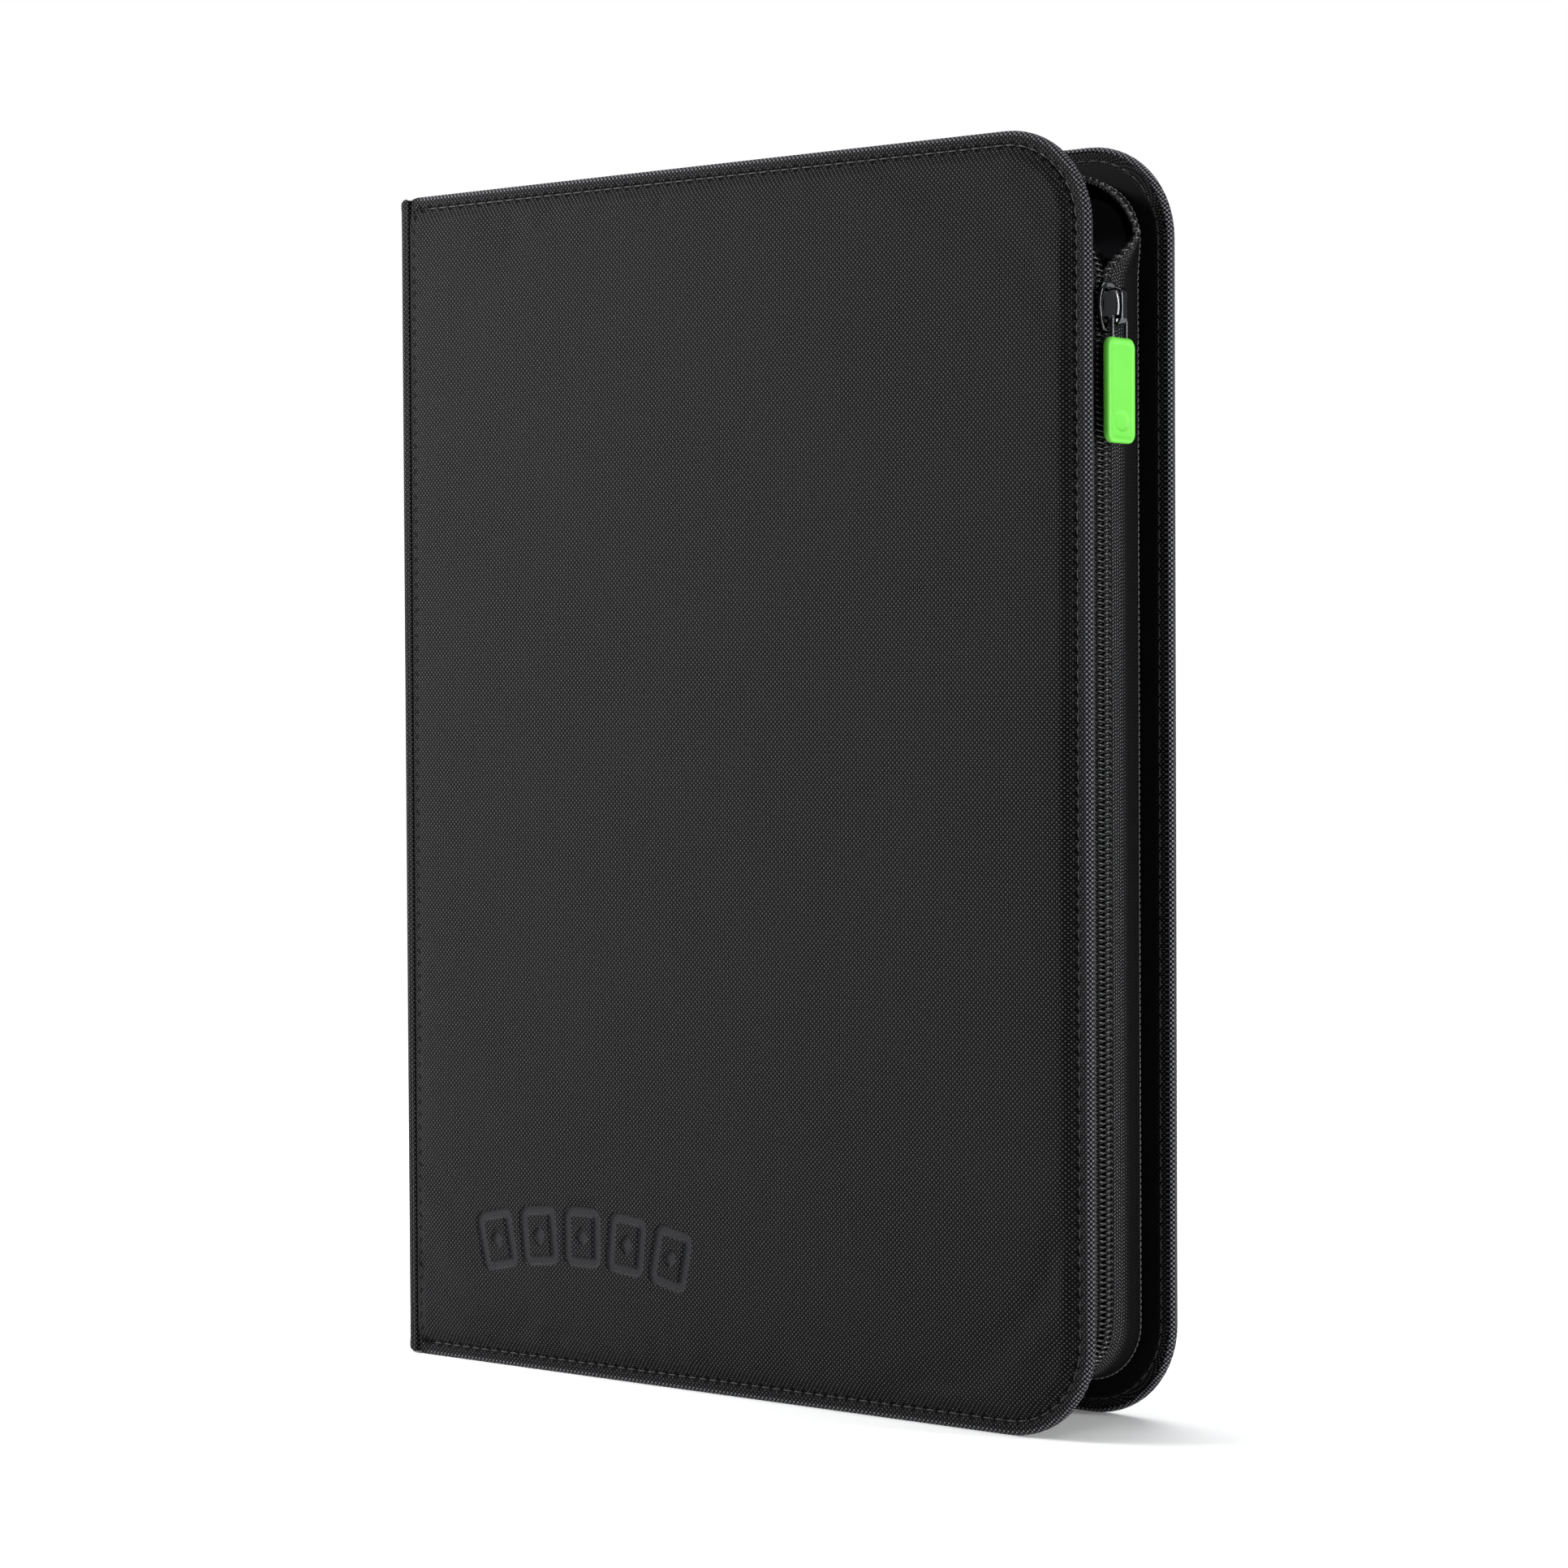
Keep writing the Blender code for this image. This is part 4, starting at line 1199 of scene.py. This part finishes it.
def pull_tab(paint):
    """Moulded rubber tab: soft edges, a raised rim and a plain sunken oval."""
    low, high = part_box("pull_tab")
    centre = (low + high) / 2
    half_x, half_y, half_z = (high - low) / 2
    corner, edge_radius = 0.0028, 0.00085

    def past_corner(y, z):
        """How far a point lies past the middle of its round corner, along y and z."""
        return abs(y) - half_y + corner, abs(z) - half_z + corner

    def outline_point(u, v):
        """A unit square point carried to the rounded rectangle."""
        y, z = u * half_y, v * half_z
        over_y, over_z = past_corner(y, z)
        if over_y > 0 and over_z > 0:
            scale = max(over_y, over_z) / math.hypot(over_y, over_z)
            y = math.copysign(half_y - corner + over_y * scale, y)
            z = math.copysign(half_z - corner + over_z * scale, z)
        return y, z

    def surface(y, z):
        """Half the tab's thickness there."""
        over_y, over_z = past_corner(y, z)
        gap = corner - math.hypot(max(over_y, 0), max(over_z, 0)) - min(max(over_y, over_z), 0)
        dish = 0.00022 * smooth((max(gap, 0.0) - 0.0011) / 0.0009)
        oval = math.hypot(y / 0.0034, (z + 0.0080) / 0.0025)
        mark = 0.00045 * (1 - smooth((oval - 0.84) / 0.26))
        return half_x - rounding(gap, edge_radius) - dish - mark

    def shares(count):
        """-1 to 1, closer together at both ends."""
        t = np.linspace(-1, 1, count + 1)
        return np.sign(t) * (1 - (1 - np.abs(t)) ** 1.35)

    across, up = shares(44), shares(88)
    points = []
    for side in (-1, 1):
        for v in up:
            for y, z in (outline_point(u, v) for u in across):
                points.append((centre.x + side * surface(y, z), centre.y + y, centre.z + z))
    mesh = faced_out(mesh_from("rubber_tab", points, shell_faces(len(up), len(across))))
    add_piece(mesh, "pull", paint, ["pull_tab"])


# Everything together


def paint_hidden_nodes(foam, lining):
    """The inner layers keep their CAD shapes and get their own materials."""
    board = plain_paint("board_fibres", (0.13, 0.12, 0.10), (0.24, 0.22, 0.19), 600.0, 0.9)
    for name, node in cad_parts.items():
        if node.hide_render:
            continue
        paint = lining
        if "foam" in name or "padding" in name:
            paint = foam
        elif "board" in name:
            paint = board
        node.data.materials.clear()
        node.data.materials.append(paint)


def build_binder():
    cover = cover_paint("cover_weave", border=True)
    # The spine and crease cloths are lighter and darker copies of one weave: painted light on the spine,
    # painted shade in the crease
    spine = cover_paint("spine_weave_painted_lit", painted_light_tone=1.3)
    crease = cover_paint("crease_weave_painted_shade", painted_light_tone=0.9)
    film, tape = film_paint(), tape_paint()
    lining = grained_paint(
        "lining_cloth", (0.030, 0.030, 0.036), (0.040, 0.040, 0.047), (14.0, 2.0), (1400.0, 4.0),
        (0.3, 0.7, 0.34, 0.5), (0.00004, 0.5), Specular_IOR_Level=0.12,
    )
    coil = grained_paint(
        "coil_nylon", (0.004, 0.004, 0.0045), (0.012, 0.012, 0.013), (700.0, 2.0), (700.0, 2.0),
        (0.2, 0.8, 0.14, 0.28), Specular_IOR_Level=0.9,
    )
    rubber = grained_paint(
        "tab_rubber", (0.15, 0.68, 0.060), (0.18, 0.74, 0.078), (90.0, 2.0), (1600.0, 3.0),
        (0.3, 0.7, 0.36, 0.52), (0.00003, 0.4),
    )
    edge = thread_paint("edge_thread", (0.007, 0.007, 0.008), (0.055, 0.055, 0.058))
    seam = thread_paint("seam_thread", (0.06, 0.06, 0.065), (0.42, 0.42, 0.43))
    stop = plain_paint("stop_moulding", (0.012, 0.012, 0.013), (0.03, 0.03, 0.032), 900.0, 0.35)
    shell = metal_paint("black_nickel", (0.085, 0.085, 0.09), (0.13, 0.13, 0.135), 0.09)
    wire = metal_paint("link_wire", (0.10, 0.10, 0.105), (0.16, 0.16, 0.165), 0.12)
    foam = plain_paint("foam_cells", (0.05, 0.05, 0.055), (0.10, 0.10, 0.11), 1400.0, 0.95)
    for name, side in SIDES.items():
        body = name + "_cover"
        cover_cloth(name, side, cover)
        foam_pad(name, side, foam)
        lining_cloth(name, side, lining)
        crease_cloth(name, side, crease)
        stitches(name + "_edge_thread", side, body, 0.0029, 0.00022, groove_floor, edge)
        stitches(name + "_hem_thread", side, body, 0.0030, 0.00020, hem_face, edge)
        zip_tape(name, tape)
        zip_coil(name, coil)
        seam_stitches(name, seam)
        for end in ("bottom", "top"):
            end_stop(f"{name}_{end}_stop", body, stop)
    spine_cloth(spine)
    binding_strip(lining)
    card_leaves(film)
    slider_body(shell)
    slider_strap(shell)
    pull_link(wire)
    pull_tab(rubber)
    paint_hidden_nodes(foam, lining)


# Stage, lights and camera


def stage_floor():
    """Pale studio paper under and behind the binder."""
    shape = bmesh.new()
    bmesh.ops.create_grid(shape, x_segments=1, y_segments=1, size=6.0)
    glow = {"Emission_Color": (1, 1, 1, 1), "Emission_Strength": 0.12}
    paint = Paint("studio_paper", Roughness=0.9, Specular_IOR_Level=0.1, **glow)
    paint.colour(paint.mix(paint.noise(3.0), 0.93, 0.95))
    add_piece(mesh_of("studio_floor", shape), None, paint.material)


def add_light(name, kind, power, **settings):
    """A light in the scene; its place and direction are set afterwards."""
    data = bpy.data.lights.new(name, kind)
    data.energy = power
    for key, value in settings.items():
        setattr(data, key, value)
    return new_object(name, data)


def softbox(name, place, target, size, power):
    light = add_light(name, "AREA", power, shape="RECTANGLE", size=size[0], size_y=size[1])
    light.location = place
    light.rotation_mode = "QUATERNION"
    light.rotation_quaternion = (Vector(target) - Vector(place)).to_track_quat("-Z", "Y")


def light_studio():
    """White behind the binder, a dim fill, a wide overhead light and two softboxes."""
    world = bpy.data.worlds.new("studio")
    bpy.context.scene.world = world
    world.use_nodes = True
    tree = world.node_tree
    seen, fill = tree.nodes["Background"], tree.nodes.new("ShaderNodeBackground")
    for background, colour, strength in ((seen, (1, 1, 1, 1), 1.0), (fill, (0.92, 0.96, 1.0, 1), 0.22)):
        background.inputs["Color"].default_value = colour
        background.inputs["Strength"].default_value = strength
    either = tree.nodes.new("ShaderNodeMixShader")
    by_camera = tree.nodes.new("ShaderNodeLightPath").outputs["Is Camera Ray"]
    for k, source in enumerate((by_camera, fill.outputs[0], seen.outputs[0])):
        tree.links.new(source, either.inputs[k])
    tree.links.new(either.outputs[0], tree.nodes["World Output"].inputs["Surface"])
    overhead = add_light("overhead", "SUN", 2.55, angle=math.radians(60))
    overhead.rotation_euler = (math.radians(-14), math.radians(-14), 0)
    softbox("key_left", (-0.50, -0.40, 0.46), (-0.08, 0, 0.24), (0.3, 0.5), 7.6)
    softbox("rim_right", (1.3, 0.25, 0.45), (0, 0, HEIGHT / 2), (0.12, 1.0), 10)


# The photo's camera: its turns in degrees are heading, tilt and roll
CAMERA_PLACE = (0.65795, -0.84245, 0.19527)
CAMERA_TURNS = ((37.706, "Z"), (88.586, "X"), (-0.300, "Z"))
LENS = 87.58


def add_camera():
    data = bpy.data.cameras.new("camera")
    data.lens = LENS
    data.sensor_width = 36.0
    camera = new_object("camera", data)
    camera.matrix_world = Matrix.Translation(CAMERA_PLACE)
    for angle, axis in CAMERA_TURNS:
        camera.matrix_world @= Matrix.Rotation(math.radians(angle), 4, axis)
    bpy.context.scene.camera = camera


build_binder()
stage_floor()
light_studio()
add_camera()
bpy.context.scene.view_settings.view_transform = "Standard"
